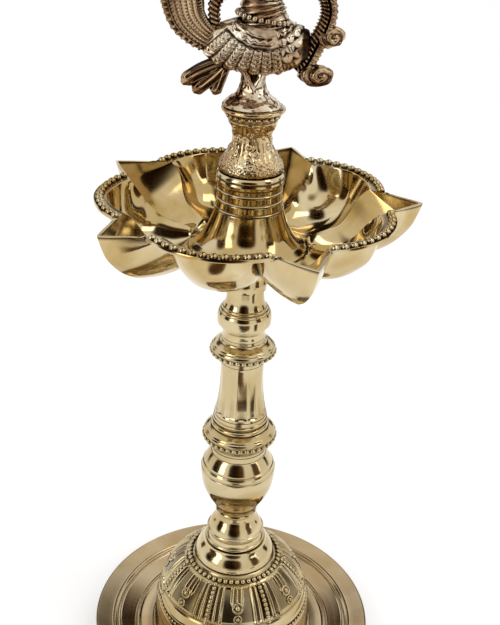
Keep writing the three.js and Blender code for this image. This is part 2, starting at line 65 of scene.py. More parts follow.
def brass(name, pale, deep, roughness, dirt_and_shade=0.0, dirt_and_shade_depth=0.0):
    """Brass with slow patches of tarnish, fine polishing marks and, if asked, dirt and painted shade in its
    hollows.
    """
    material = bpy.data.materials.new(name)
    material.use_nodes = True
    nodes = material.node_tree.nodes
    links = material.node_tree.links
    shader = nodes["Principled BSDF"]
    shader.inputs["Metallic"].default_value = 1.0
    place = nodes.new("ShaderNodeTexCoord")
    patches = nodes.new("ShaderNodeTexNoise")
    patches.inputs["Scale"].default_value = PATCH_SCALE
    patches.inputs["Detail"].default_value = 5.0
    patches.inputs["Distortion"].default_value = 0.8
    links.new(place.outputs["Object"], patches.inputs["Vector"])
    tone = nodes.new("ShaderNodeValToRGB")
    tone.color_ramp.elements[0].position = DEEP_TO
    tone.color_ramp.elements[0].color = (*deep, 1)
    tone.color_ramp.elements[1].position = PALE_FROM
    tone.color_ramp.elements[1].color = (*pale, 1)
    links.new(patches.outputs["Fac"], tone.inputs["Fac"])
    colour = tone.outputs["Color"]
    marks = nodes.new("ShaderNodeTexNoise")
    marks.inputs["Scale"].default_value = MARK_SCALE
    marks.inputs["Detail"].default_value = 4.0
    links.new(place.outputs["Object"], marks.inputs["Vector"])
    shine = nodes.new("ShaderNodeMapRange")
    shine.inputs["To Min"].default_value = roughness * SMOOTHEST
    shine.inputs["To Max"].default_value = roughness * ROUGHEST
    links.new(patches.outputs["Fac"], shine.inputs["Value"])
    dull = shine.outputs["Result"]
    bump = nodes.new("ShaderNodeBump")
    bump.inputs["Strength"].default_value = MARK_STRENGTH
    bump.inputs["Distance"].default_value = MARK_HEIGHT
    links.new(marks.outputs["Fac"], bump.inputs["Height"])
    links.new(bump.outputs["Normal"], shader.inputs["Normal"])
    if dirt_and_shade:
        # Ambient occlusion finds the hollows, and darkens them as dirt and painted shade.
        hollow = nodes.new("ShaderNodeAmbientOcclusion")
        hollow.samples = 6
        hollow.inputs["Distance"].default_value = dirt_and_shade_depth
        depth = nodes.new("ShaderNodeMapRange")
        depth.inputs["From Min"].default_value = DEEP_HOLLOW
        depth.inputs["From Max"].default_value = OPEN_FACE
        depth.inputs["To Min"].default_value = dirt_and_shade
        depth.inputs["To Max"].default_value = 0.0
        links.new(hollow.outputs["AO"], depth.inputs["Value"])
        grime_and_shade = nodes.new("ShaderNodeMix")
        grime_and_shade.data_type = "RGBA"
        grime_and_shade.inputs["B"].default_value = (*GRIME_AND_SHADE, 1)
        # The piece's own painted shade value adds to the dirt and painted shade that its hollows hold.
        painted_shade = nodes.new("ShaderNodeAttribute")
        painted_shade.attribute_name = "painted_shade"
        dark = nodes.new("ShaderNodeMath")
        dark.operation = "MAXIMUM"
        links.new(depth.outputs["Result"], dark.inputs[0])
        links.new(painted_shade.outputs["Fac"], dark.inputs[1])
        links.new(dark.outputs["Value"], grime_and_shade.inputs["Factor"])
        links.new(colour, grime_and_shade.inputs["A"])
        colour = grime_and_shade.outputs["Result"]
        matt = nodes.new("ShaderNodeMath")
        matt.operation = "MULTIPLY_ADD"
        matt.inputs[1].default_value = GRIME_AND_SHADE_DULLS
        links.new(dark.outputs["Value"], matt.inputs[0])
        links.new(dull, matt.inputs[2])
        dull = matt.outputs["Value"]
    links.new(colour, shader.inputs["Base Color"])
    links.new(dull, shader.inputs["Roughness"])
    return material


def smooth_through(points, step):
    """A smooth curve through the points, as points about one step apart."""
    if len(points) == 2:
        lengths = max(1, round(math.dist(points[0], points[1]) / step))
        return [
            [a + (b - a) * i / lengths for a, b in zip(points[0], points[1])] for i in range(lengths + 1)
        ]
    curve = []
    for i in range(len(points) - 1):
        p0 = points[max(i - 1, 0)]
        p1 = points[i]
        p2 = points[i + 1]
        p3 = points[min(i + 2, len(points) - 1)]
        pieces = max(1, round(math.dist(p1, p2) / step))
        # Tangents are scaled to the stretch's own length, so uneven points give no loops.
        span = math.dist(p1, p2)
        before = max(math.dist(p0, p1), 1e-9) if i else span
        after = max(math.dist(p2, p3), 1e-9) if i + 2 < len(points) else span
        for j in range(pieces):
            t = j / pieces
            start = 2 * t**3 - 3 * t**2 + 1
            leaving = t**3 - 2 * t**2 + t
            end = -2 * t**3 + 3 * t**2
            arriving = t**3 - t**2
            point = []
            for a, b, c, d in zip(p0, p1, p2, p3):
                slope1 = (c - a) / (before + span) * span if i else c - b
                slope2 = (d - b) / (span + after) * span if i + 2 < len(points) else c - b
                point.append(start * b + leaving * slope1 + end * c + arriving * slope2)
            curve.append(point)
    curve.append(list(points[-1]))
    return curve


def corners(*runs, step=0.7):
    """Joins smooth runs into one outline, with a sharp corner where two runs meet."""
    outline = []
    for run in runs:
        smooth = smooth_through(run, step)
        outline += smooth if not outline or math.dist(outline[-1], smooth[0]) > 1e-6 else smooth[1:]
    return outline


def lined(outline, lines):
    """Cuts turned lines into an outline. A line is (height, depth, width), and a raised one has a
    depth below zero. Outlines run upwards on the outside of a piece."""
    cut = []
    for i, (radius, height) in enumerate(outline):
        before = outline[max(i - 1, 0)]
        after = outline[min(i + 1, len(outline) - 1)]
        along = Vector((after[0] - before[0], after[1] - before[1])).normalized()
        depth = sum(d * math.exp(-(((height - at) / (0.5 * w)) ** 2)) for at, d, w in lines)
        cut.append([radius - along.y * depth, height + along.x * depth])
    return cut


def start_piece():
    """Leaves edit mode and deselects everything."""
    if bpy.context.object and bpy.context.object.mode != "OBJECT":
        bpy.ops.object.mode_set(mode="OBJECT")
    bpy.ops.object.select_all(action="DESELECT")


CRISP_EDGE = math.radians(38)
WELD = 0.01 * MM


def turned(name, outline, bottom, sides):
    """Turns a closed outline of (radius, height) points in millimetres about the lamp's axis."""
    start_piece()
    bpy.ops.mesh.primitive_plane_add(size=MM)
    piece = bpy.context.object
    piece.name = name
    bpy.ops.object.mode_set(mode="EDIT")
    bpy.ops.mesh.merge(type="CENTER")
    bpy.ops.mesh.select_all(action="SELECT")
    bpy.ops.transform.translate(value=(outline[0][0] * MM, 0, bottom + outline[0][1] * MM))
    for (r0, z0), (r1, z1) in zip(outline, outline[1:] + outline[:1]):
        step = ((r1 - r0) * MM, 0, (z1 - z0) * MM)
        bpy.ops.mesh.extrude_region_move(TRANSFORM_OT_translate={"value": step})
    bpy.ops.mesh.select_all(action="SELECT")
    bpy.ops.mesh.spin(steps=sides, angle=2 * math.pi, center=(0, 0, 0), axis=(0, 0, 1))
    bpy.ops.mesh.select_all(action="SELECT")
    bpy.ops.mesh.remove_doubles(threshold=WELD)
    bpy.ops.mesh.normals_make_consistent(inside=False)
    bpy.ops.object.mode_set(mode="OBJECT")
    bpy.ops.object.shade_smooth_by_angle(angle=CRISP_EDGE)
    return piece


def fitted(piece, body, slot, material, *nodes):
    """Gives a finished piece its finish and its body, and hides the CAD nodes that it stands for."""
    piece.data.materials.clear()
    piece.data.materials.append(material)
    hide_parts(*nodes)
    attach(piece, body)


BORE = 4.6
PLATE_RADIUS = 87.9
RIM_HEIGHT = 15.8
WEB_TOP = 9.5
WEB_BOTTOM = 6.8
plate_face = corners(
    [
        [PLATE_RADIUS - 0.9, RIM_HEIGHT], [80, 14.3], [74.2, 13.1], [68, 11.5], [61.6, 10], [56, WEB_TOP],
        [51, WEB_TOP],
    ],
    step=0.3,
)
plate_face.reverse()
PLATE_LINES = [
    (13.1, -0.7, 0.42), (12.68, 0.5, 0.3), (13.5, 0.35, 0.3), (10.05, -0.65, 0.3), (9.82, 0.4, 0.16),
]
plate_face = lined(plate_face, PLATE_LINES)
plate_face.reverse()
plate_outline = (
    corners(
        [[BORE, WEB_BOTTOM], [57, WEB_BOTTOM]],
        [[57, WEB_BOTTOM], [58.5, 0]],
        [[58.5, 0], [64, 0]],
        [[64, 0], [64.6, 4.6], [66.6, 7.5]],
        [[66.6, 7.5], [86.2, 13.3]],
        [[86.2, 13.3], [87.4, 14], [PLATE_RADIUS, 14.9], [87.6, 15.6], [PLATE_RADIUS - 0.9, RIM_HEIGHT]],
        step=0.8,
    )
    + plate_face[1:]
    + corners(
        [[45, WEB_TOP], [45, 11.5]],
        [[45, 11.5], [43, 11.5]],
        [[43, 11.5], [43, WEB_TOP]],
        [[43, WEB_TOP], [BORE, WEB_TOP]],
    )
)
plate = turned("base_plate_finish", plate_outline, 0, sides=192)
PLATE_PALE = (0.56, 0.44, 0.27)
PLATE_GOLD = (0.42, 0.29, 0.14)
plate_brass = brass("plate_brass", PLATE_PALE, PLATE_GOLD, 0.14, dirt_and_shade=0.8, dirt_and_shade_depth=1.2 * MM)
fitted(plate, "base", "brass", plate_brass, "base_plate")

# Base dome.
# A hollow brass casting that stands on the plate. Seven framed panels are chased into it, with a column
# of beads between each two and a stalk in each that ends in two ring-shaped beads. A ring of beads runs
# above the panels, and a scalloped, beaded border below them.

PALE = (0.64, 0.53, 0.32)
GOLD = (0.47, 0.34, 0.145)
chased = brass("chased_brass", PALE, GOLD, 0.14, dirt_and_shade=0.95, dirt_and_shade_depth=2.0 * MM)
PANELS = 7
PANEL_PITCH = 360 / PANELS
FRONT_PANEL = -87.5
DOME_TOP = 66.6


def shaped(piece, relief, shade_range=None):
    """Moves every point of a piece along its normal by relief(point), in millimetres. Given a shade
    range, a point is darkened with painted shade: fully where the relief is below the range's first
    value, and not at all where it is above its second."""
    mesh = bmesh.new()
    mesh.from_mesh(piece.data)
    mesh.normal_update()
    painted_shade = mesh.verts.layers.float.get("painted_shade") or mesh.verts.layers.float.new("painted_shade")
    moves = [(vertex, vertex.normal * MM, relief(vertex.co / MM)) for vertex in mesh.verts]
    for vertex, normal, lay in moves:
        vertex.co += normal * lay
        if shade_range:
            vertex[painted_shade] = min(max((shade_range[1] - lay) / (shade_range[1] - shade_range[0]), 0), 1)
    mesh.to_mesh(piece.data)
    mesh.free()


def ridge(distance, width, height):
    """A rounded line: its height where the distance is 0, falling to nothing at about the width."""
    return height * math.exp(-((2 * distance / width) ** 2))


def step_up(value, edge, width):
    """From 0 below the edge to 1 above it, smoothly over the width."""
    share = min(max((value - edge) / width + 0.5, 0), 1)
    return share * share * (3 - 2 * share)


def facing(point, out):
    """Stands a shape that looks up at a point in millimetres, looking out."""
    turn = Vector(out).to_track_quat("Z", "Y").to_matrix().to_4x4()
    return Matrix.Translation(Vector(point) * MM) @ turn


def beads(name, places, size, flat=0.75):
    """One bead is modelled and copied to every place. A place is a point and the way out, in mm."""
    start_piece()
    bpy.ops.mesh.primitive_ico_sphere_add(subdivisions=2, radius=1)
    first = bpy.context.object
    bpy.ops.object.mode_set(mode="EDIT")
    bpy.ops.transform.resize(value=(1, 1, flat))
    bpy.ops.object.mode_set(mode="OBJECT")
    bpy.ops.object.shade_smooth()
    copies = []
    for point, out in places:
        copy = first.copy()
        copy.data = first.data.copy()
        bpy.context.collection.objects.link(copy)
        copy.data.transform(facing(point, out) @ Matrix.Scale(0.5 * size * MM, 4))
        copies.append(copy)
    bpy.data.objects.remove(first)
    return joined(name, copies)


def joined(name, pieces):
    """Joins pieces that are cast in one."""
    start_piece()
    for piece in pieces:
        piece.select_set(True)
    bpy.context.view_layer.objects.active = pieces[0]
    bpy.ops.object.join()
    whole = bpy.context.object
    whole.name = name
    return whole


def polar(radius, degrees, height):
    """A point at a distance from the lamp's axis, in a direction."""
    turn = math.radians(degrees)
    return Vector((radius * math.cos(turn), radius * math.sin(turn), height))


def outline_at(outline, height):
    """The radius of an outside outline at a height, and its slope as a way out (radial, up)."""
    for (r0, z0), (r1, z1) in zip(outline, outline[1:]):
        if min(z0, z1) <= height <= max(z0, z1) and abs(z1 - z0) > 1e-9:
            share = (height - z0) / (z1 - z0)
            out = Vector((z1 - z0, r0 - r1)).normalized()
            return r0 + (r1 - r0) * share, out if out.x > 0 else -out
    raise ValueError(f"no outline at height {height}")


def ring_of_beads(name, outline, height, count, size, sunk, bottom=0.0, phase=0.0):
    """A ring of beads round a turned piece, at a height of its outline. They are sunk by a share of
    their size."""
    radius, out = outline_at(outline, height)
    places = []
    for i in range(count):
        degrees = phase + 360 * i / count
        way = polar(out.x, degrees, out.y)
        places.append((polar(radius, degrees, height + bottom / MM) - way * sunk * size, way))
    return beads(name, places, size)


dome_side = corners(
    [[51.5, 9.9], [51.4, 11.4]],
    [[51.4, 11.4], [50.6, 13.2]],
    [[50.2, 13.4], [49.7, 20.2], [48.9, 28.2], [47.5, 36.1], [45.6, 43.1], [42.7, 49.3], [39.2, 54.6],
     [35.2, 59], [30.8, 62.9], [27, 65.6], [25.2, DOME_TOP]],
    step=0.6,
)
dome_outline = dome_side + corners(
    [[25.2, DOME_TOP], [7.4, DOME_TOP]],
    [[7.4, DOME_TOP], [7.4, 69]],
    [[7.4, 69], [BORE, 69]],
    [[BORE, 69], [BORE, 62.6]],
    [[BORE, 62.6], [26, 62.6]],
    [[26, 62.6], [33.2, 56.7], [40.2, 47.7], [44.6, 35.4], [46.4, 20], [46.2, 9.9]],
    [[46.2, 9.9], [51.5, 9.9]],
    step=3,
)
dome = turned("base_dome_finish", dome_outline, 0, sides=PANELS * 60)
CHASED_FROM = 20
CHASED_RADIUS = 25.6
SKIN = 0.6
FRAME_BOTTOM = 45.6
FRAME_TOP = 62.6
SCALLOP_LEVEL = 37.2
SCALLOP_DROP = 3.2
TOP_BEAD_LEVEL = 64.9
# Lines beside a column of beads: the distance in degrees, the width, and the height or depth.
STRIPS = [(6.0, 3.0, 1.1), (10.6, 2.1, 0.95)]
GROOVES = [(3.1, 2.2, 1.1), (8.5, 2.1, 1.1)]
GROUND_EDGE = 12
GROUND_DEPTH = 0.57
STALK_FOOT = 51
STALK_LENGTH = 5.5


def from_column(degrees):
    """The angle to the nearest column of beads, in degrees, 0 to half a panel."""
    turn = (degrees - FRONT_PANEL + PANEL_PITCH / 2) % PANEL_PITCH
    return min(turn, PANEL_PITCH - turn)


def scallop_height(degrees):
    """The height of the scalloped border's middle."""
    share = from_column(degrees) / (PANEL_PITCH / 2)
    return SCALLOP_LEVEL - SCALLOP_DROP * math.sin(share * math.pi / 2) ** 0.8


def dome_relief(point):
    """The panels, their frames and the lines beside the border. The dome's inside stays plain."""
    radius = math.hypot(point.x, point.y)
    if radius < CHASED_RADIUS or point.z < CHASED_FROM:
        return 0
    if outline_at(dome_side, min(point.z, DOME_TOP - 0.02))[0] - radius > SKIN:
        return 0
    degrees = math.degrees(math.atan2(point.y, point.x))
    side = from_column(degrees)
    middle = PANEL_PITCH / 2 - side
    z = point.z
    inside_frame = step_up(z, FRAME_BOTTOM, 0.8) * (1 - step_up(z, FRAME_TOP, 0.8))
    strips = sum(ridge(side - at, width, height) for at, width, height in STRIPS)
    grooves = sum(ridge(side - at, width, depth) for at, width, depth in GROOVES)
    lay = inside_frame * (strips - grooves)
    ground = step_up(side, GROUND_EDGE, 1.2)
    lay -= inside_frame * ground * GROUND_DEPTH
    # The stalk: a middle rib between two slim petals, from the bead ring to the upper ring bead.
    fade = min(max((z - STALK_FOOT) / STALK_LENGTH, 0), 1)
    if fade:
        petals = ridge(middle - 4.4 * fade, 2.5, 1.1)
        lay += inside_frame * fade * (ridge(middle, 2.0, 1.15) + petals - ridge(middle - 2.2, 1.3, 0.3))
    # The frame's lower bar, and the lines that follow the scallops.
    lay += ridge(z - FRAME_BOTTOM, 1.6, 0.9) - ridge(z - FRAME_BOTTOM + 1.6, 1.4, 0.6)
    drop = z - scallop_height(degrees)
    lay += ridge(drop - 2.7, 1.2, 0.65) + ridge(drop + 2.5, 1.2, 0.65)
    lay -= ridge(drop, 2.6, 0.55)
    lay -= ridge(z - TOP_BEAD_LEVEL, 3.0, 0.8)
    return lay


# Where the dome's relief is low, in the grooves and the sunk ground of its panels, it is darkened with
# painted shade that stands for the dark reflections of the room.
shaped(dome, dome_relief, shade_range=(-0.75, -0.28))
TOP_BEADS = PANELS * 7
TOP_BEAD = 3.2
top_ring = ring_of_beads(
    "dome_top_beads", dome_side, TOP_BEAD_LEVEL, TOP_BEADS, TOP_BEAD, sunk=0.05, phase=FRONT_PANEL,
)
BEAD_SEAT = 0.3
COLUMN_TOP = 63.2
COLUMN_END = SCALLOP_LEVEL + 2.4
COLUMN_PITCH = 2.75
COLUMN_BEAD = 3.1
column_places = []
for panel in range(PANELS):
    degrees = FRONT_PANEL + (panel + 0.5) * PANEL_PITCH
    height = COLUMN_TOP
    while height > COLUMN_END:
        radius, out = outline_at(dome_side, height)
        way = polar(out.x, degrees, out.y)
        column_places.append((polar(radius, degrees, height) - way * BEAD_SEAT, way))
        # A bead further along the surface is lower by the pitch times the surface's steepness.
        height -= COLUMN_PITCH * max(out.x, 0.55)
columns = beads("dome_bead_columns", column_places, COLUMN_BEAD)
BORDER_BEADS = PANELS * 15
BORDER_BEAD = 2.3
border_places = []
for i in range(BORDER_BEADS):
    degrees = FRONT_PANEL + 360 * i / BORDER_BEADS
    height = scallop_height(degrees)
    radius, out = outline_at(dome_side, height)
    way = polar(out.x, degrees, out.y)
    border_places.append((polar(radius, degrees, height) - way * BEAD_SEAT, way))
border = beads("dome_border_beads", border_places, BORDER_BEAD)


# A ring's radius and thickness, and the size of the bead in it, as shares of its size.
RING_RADIUS = 0.40
RING_THICKNESS = 0.115
RING_MIDDLE = 0.5
FLATTENED = 0.9


def ring_bead(name, place, out, size):
    """A bead inside a raised ring."""
    start_piece()
    bpy.ops.mesh.primitive_torus_add(
        major_segments=28, minor_segments=10,
        major_radius=RING_RADIUS * size * MM, minor_radius=RING_THICKNESS * size * MM,
    )
    ring = bpy.context.object
    bpy.ops.object.mode_set(mode="EDIT")
    bpy.ops.transform.resize(value=(1, 1, FLATTENED))
    bpy.ops.object.mode_set(mode="OBJECT")
    bpy.ops.object.shade_smooth()
    ring.data.transform(facing(place, out))
    return joined(name, [ring, beads("bead", [(place, out)], RING_MIDDLE * size, FLATTENED)])


# The height and the size of the two ring-shaped beads at the end of a stalk.
RING_BEADS = [(54.2, 7.0), (48.6, 5.4)]
RING_SEAT = 0.4
ring_beads = []
for panel in range(PANELS):
    degrees = FRONT_PANEL + panel * PANEL_PITCH
    for height, size in RING_BEADS:
        radius, out = outline_at(dome_side, height)
        way = polar(out.x, degrees, out.y)
        place = polar(radius, degrees, height) - way * RING_SEAT
        ring_beads.append(ring_bead("ring_bead", place, way, size))
dome = joined("base_dome_finish", [dome, top_ring, columns, border, *ring_beads])
fitted(dome, "base", "brass", chased, "base_dome")

# Collar over the dome.
# A low turned brass ring with a flared skirt, which sits inside the ring of beads. The tie rod holds it
# down, as it holds all the sections above.

polished = brass("polished_brass", PALE, GOLD, 0.115, dirt_and_shade=0.8, dirt_and_shade_depth=1.2 * MM)
SPIGOT = 7.4
SPIGOT_HEIGHT = 2.4
RECESS = 7.8
RECESS_DEPTH = 2.7


def section(name, side, height, lines=(), sides=128):
    """A turned section of the stem: its outside, a recess below, a spigot above and the rod's bore."""
    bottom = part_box(name)[0].z
    side = lined(side, lines)
    inside = corners(
        [[side[-1][0], height], [SPIGOT, height]],
        [[SPIGOT, height], [SPIGOT, height + SPIGOT_HEIGHT]],
        [[SPIGOT, height + SPIGOT_HEIGHT], [BORE, height + SPIGOT_HEIGHT]],
        [[BORE, height + SPIGOT_HEIGHT], [BORE, RECESS_DEPTH]],
        [[BORE, RECESS_DEPTH], [RECESS, RECESS_DEPTH]],
        [[RECESS, RECESS_DEPTH], [RECESS, 0]],
        [[RECESS, 0], [side[0][0], 0]],
        step=5,
    )
    return turned(name + "_finish", side + inside[1:-1], bottom, sides)


COLLAR_HEIGHT = 11.4
collar_side = corners(
    [[23.7, 0], [24.45, 0.7], [24.3, 2], [23.4, 4.6], [21.6, 7.6], [19.4, 10], [18.9, COLLAR_HEIGHT]],
)
collar = section("dome_collar", collar_side, COLLAR_HEIGHT, [(1.9, 0.2, 0.8)])
fitted(collar, "base", "brass", polished, "dome_collar")

# Foot of the stem.
# A turned brass section: a short barrel between doubled edges, then a neck that narrows and flares
# out again to carry the bulb.

FOOT_HEIGHT = 27.2
foot_side = corners(
    [[17.2, 0], [17.9, 0.6], [17.9, 1.2], [17.4, 1.8]],
    [[16.7, 2], [16.3, 3.2], [16.2, 5], [16.5, 6.6]],
    [[16.9, 6.9], [17.5, 7.5], [17.5, 8.3], [16.8, 9]],
    [[16.4, 9.2], [15.6, 11.4], [14.4, 13.8], [13, 15.9], [12.1, 17.8], [11.6, 20.4]],
    [[11.9, 20.6], [12.5, 21.2], [12.6, 22], [12.1, 22.8]],
    [[12, 22.9], [12.9, 24.8], [13.7, FOOT_HEIGHT]],
    step=0.35,
)
foot = section("stem_foot", foot_side, FOOT_HEIGHT)
fitted(foot, "stem", "brass", polished, "stem_foot")

# Bulb of the stem.
# A pear-shaped turned brass section with two raised lines round its shoulder.

BULB_HEIGHT = 41.5
bulb_side = corners(
    [[13.7, 0], [14.5, 1.2], [16.2, 4], [18.1, 7.3], [19.7, 11], [21, 15], [21.9, 20.5], [22.15, 25],
     [21.5, 28.6], [20.3, 31.6], [19, 34], [17.5, 36.4], [16.4, 37.8]],
    [[16.1, 37.9], [16.1, 39.6], [16.4, BULB_HEIGHT]],
    step=0.35,
)
BULB_LINES = [
    (30.7, 0.2, 0.6), (30.1, -0.3, 0.7), (29.5, 0.2, 0.6),
    (27.3, 0.2, 0.6), (26.7, -0.28, 0.7), (26.1, 0.2, 0.6),
]
bulb = section("stem_bulb", bulb_side, BULB_HEIGHT, BULB_LINES)
fitted(bulb, "stem", "brass", polished, "stem_bulb")

# Lower knop.
# A turned brass ring with a rounded shoulder over a row of small punched beads, and two stepped
# collars above that carry the fluted shaft.

KNOP_HEIGHT = 23.1
knop_side = corners(
    [[16.2, 0], [16.4, 1.4], [16.9, 2.6], [17.3, 3]],
    [[17.4, 3.2], [19.6, 4.4], [20.9, 5.8], [21.6, 7.8], [21.6, 9], [21.2, 10.8], [20.2, 12.4], [18.2, 14],
     [17, 14.8]],
    [[16.3, 14.9], [16.8, 15.6], [16.6, 16.9], [15.9, 17.6]],
    [[15.2, 17.8], [15.2, 18.4]],
    [[15.5, 18.6], [15.9, 19.4], [15.8, 20.6]],
    [[15.4, 20.8], [15.3, KNOP_HEIGHT]],
    step=0.35,
)
KNOP_BEADS = 36
KNOP_BEAD = 3.1
KNOP_BEAD_LEVEL = 8.1
CHANNEL_DEPTH = 0.7
CHANNEL_WIDTH = 3.4
PUNCHED_SEAT = 0.2
knop_lines = [(KNOP_BEAD_LEVEL, CHANNEL_DEPTH, CHANNEL_WIDTH), (12.2, 0.25, 0.6)]
knop = section("lower_knop", knop_side, KNOP_HEIGHT, knop_lines)
knop_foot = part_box("lower_knop")[0].z
knop_beads = ring_of_beads(
    "knop_beads", knop_side, KNOP_BEAD_LEVEL, KNOP_BEADS, KNOP_BEAD, PUNCHED_SEAT, bottom=knop_foot,
)


def with_painted_shade(piece, darkness):
    """Adds painted shade where darkness(point) says so, 0 to 1."""
    data = piece.data
    layer = data.attributes.get("painted_shade") or data.attributes.new("painted_shade", "FLOAT", "POINT")
    for vertex, painted_shade in zip(data.vertices, layer.data):
        painted_shade.value = min(max(painted_shade.value, darkness(vertex.co / MM)), 1)


def bead_channel(foot, level, radius):
    """Painted shade between the beads of a knop, outside the radius."""
    def darkness(point):
        if math.hypot(point.x, point.y) <= radius:
            return 0
        return ridge(point.z - foot / MM - level, CHANNEL_WIDTH, 1.0)
    return darkness


# The channel round the lower knop's beads is darkened with painted shade.
with_painted_shade(knop, bead_channel(knop_foot, KNOP_BEAD_LEVEL, 15))
knop = joined("lower_knop_finish", [knop, knop_beads])
fitted(knop, "stem", "brass", chased, "lower_knop")

# Fluted shaft.
# A waisted brass column with hollow flutes that run up it from a narrow plain band at its foot. It
# sits on the lower knop's collars.

SHAFT_HEIGHT = 34.3
FLUTES = 14
FLUTE_DEPTH = 0.85
FLUTE_FOOT = 2
FLUTE_HEAD = 33.4
FLUTE_FADES = 0.92
SHAFT_CORE = 10
shaft_side = corners(
    [[15.1, 0], [15, 1.2]],
    [[14.8, 1.4], [14.3, 4.2], [13.7, 7.2], [13.2, 10.6], [12.8, 14], [12.5, 19], [12.3, 26],
     [12.5, SHAFT_HEIGHT]],
    step=0.5,
)
shaft = section("fluted_shaft", shaft_side, SHAFT_HEIGHT, sides=FLUTES * 14)
shaft_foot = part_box("fluted_shaft")[0].z / MM


def flute(point):
    """A flute is a round hollow that gets shallower upwards, and two flutes meet in a narrow edge."""
    height = point.z - shaft_foot
    if math.hypot(point.x, point.y) < SHAFT_CORE:
        return 0
    turn = (math.degrees(math.atan2(point.y, point.x)) * FLUTES / 360) % 1
    run = step_up(height, FLUTE_FOOT, 1.2) * (1 - step_up(height, FLUTE_HEAD, 1))
    fade = 1 - FLUTE_FADES * height / SHAFT_HEIGHT
    return -FLUTE_DEPTH * run * fade * (1 - (2 * turn - 1) ** 2) ** 0.8


# The bottoms of the flutes are darkened with painted shade.
shaped(shaft, flute, shade_range=(-1.7, -0.45))
fitted(shaft, "stem", "brass", polished, "fluted_shaft")

# Upper knop.
# A turned brass ring like the lower one, a little smaller, with its punched beads at the lower edge. It
# sits on the spigot at the shaft's top.

UPPER_HEIGHT = 16.1
upper_side = corners(
    [[12.5, 0], [12.6, 2.6]],
    [[12.9, 2.8], [14.2, 3.8], [17.4, 4.8], [18.3, 5.6], [18.7, 7], [18.5, 8.6], [17.8, 10], [16, 11.8],
     [14, 13.1]],
    [[13.4, 13.2], [13.2, 14], [12.7, 14.5]],
    [[12.4, 14.7], [12.3, UPPER_HEIGHT]],
    step=0.35,
)
UPPER_BEADS = 32
UPPER_BEAD = 2.9
UPPER_BEAD_LEVEL = 6.6
upper_lines = [(UPPER_BEAD_LEVEL, CHANNEL_DEPTH, 3.0), (10.6, 0.25, 0.6)]
upper = section("upper_knop", upper_side, UPPER_HEIGHT, upper_lines)
upper_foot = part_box("upper_knop")[0].z
upper_beads = ring_of_beads(
    "upper_beads", upper_side, UPPER_BEAD_LEVEL, UPPER_BEADS, UPPER_BEAD, PUNCHED_SEAT, bottom=upper_foot,
)
# The channel round the upper knop's beads is darkened with painted shade.
with_painted_shade(upper, bead_channel(upper_foot, UPPER_BEAD_LEVEL, 14))
upper = joined("upper_knop_finish", [upper, upper_beads])
fitted(upper, "stem", "brass", chased, "upper_knop")

# Neck of the stem.
# A turned brass section: a ringed barrel below, a plain cylinder above that enters the boss under the
# bowl.

NECK_HEIGHT = 29.1
neck_side = corners(
    [[12.3, 0], [12.1, 1.6], [12.2, 3.4], [12.9, 5.6], [13.6, 7.5]],
    [[13.9, 7.6], [14.9, 8]],
    [[14.9, 8], [15.1, 9], [15.1, 12.4], [14.9, 14.2], [14.3, 15.6]],
    [[14, 15.7], [13.9, 16.5], [13.3, 17.1]],
    [[12.9, 17.2], [12.9, 18], [12.3, 18.7]],
    [[12, 18.8], [11.5, 19.9], [11, 20.9], [10.6, 22.8], [10.4, 25], [10.2, NECK_HEIGHT]],
    step=0.35,
)
neck = section("stem_neck", neck_side, NECK_HEIGHT)
fitted(neck, "stem", "brass", polished, "stem_neck")

# Oil bowl.
# One thin brass casting: five round lobes with a pointed wick beak between each two. Each lobe has a
# flat rim with a row of beads between two raised lines. A boss under the bowl sits on the stem's neck,
# and a tube in its middle carries the bell.

BEAKS = 5
BEAK_REACH = 91.95
BOWL_WALL = 1.5
LOBE_CENTRE = 32.9
LOBE_RADIUS = 48.4
FLANGE = 6.6
HUB = 32.1
HUB_DEPTH = 27
HUB_FLOOR = 29
TUBE = 9
BOSS = 11.4
BOSS_DEPTH = 51.4
rim_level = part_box("oil_bowl")[1].z / MM
# Each line runs from the hub to the rim: the beak's floor as (reach, depth), the ridge between beak
# and lobe as (along the beak, beside it, depth), and the lobe's middle as (reach, depth).
beak_floor = [
    (HUB, HUB_DEPTH), (35.2, 25.5), (44, 27.6), (56, 28.6), (67.6, 26.9), (75.4, 23.1), (81.4, 17.9),
    (86.6, 10.8), (BEAK_REACH - BOWL_WALL, 0),
]
ridge_line = [
    (31.6, 5.8, HUB_DEPTH), (33.6, 6.4, 23.3), (43.1, 9.7, 20.6), (50, 12, 18.5), (55, 14.6, 13.5),
    (58.6, 17.4, 7.4), (62, 18.4, 3.2), (66, 18.3, 0), (73.6, 12.5, 0),
]
lobe_floor = [
    (HUB, HUB_DEPTH), (34.2, 28.2), (39, 28.9), (48, 28), (57, 25.9), (65, 21), (71.6, 13.2),
    (LOBE_CENTRE + LOBE_RADIUS - FLANGE, 0), (LOBE_CENTRE + LOBE_RADIUS, 0),
]
LAST_ROW = 8
RIM_ROW = 7
LOBE_ROW = 2.5
BEAK_POINTS = 7
LOBE_POINTS = 20
BEAK_FLANK = 1.3
LOBE_SPACING = 1.15
LOBE_ROUNDNESS = 0.94
# The raised lines on a lobe's rim: the place across the rim, the width and the height.
RIM_LINES = [(0.95, 0.12, 0.5), (0.06, 0.10, 0.12)]


def eased(points, row, corner=LAST_ROW):
    """The smooth curve through the points at a row, which may lie between two. It has one corner."""
    points = points[: corner + 1] if row <= corner else points[corner:]
    row = row if row <= corner else row - corner
    i = min(int(row), len(points) - 2)
    share = row - i
    a, b, c, d = (points[min(max(i + k, 0), len(points) - 1)] for k in (-1, 0, 1, 2))
    return [
        q + 0.5 * share * (r - p + share * (2 * p - 5 * q + 4 * r - s + share * (3 * q - p - 3 * r + s)))
        for p, q, r, s in zip(a, b, c, d)
    ]


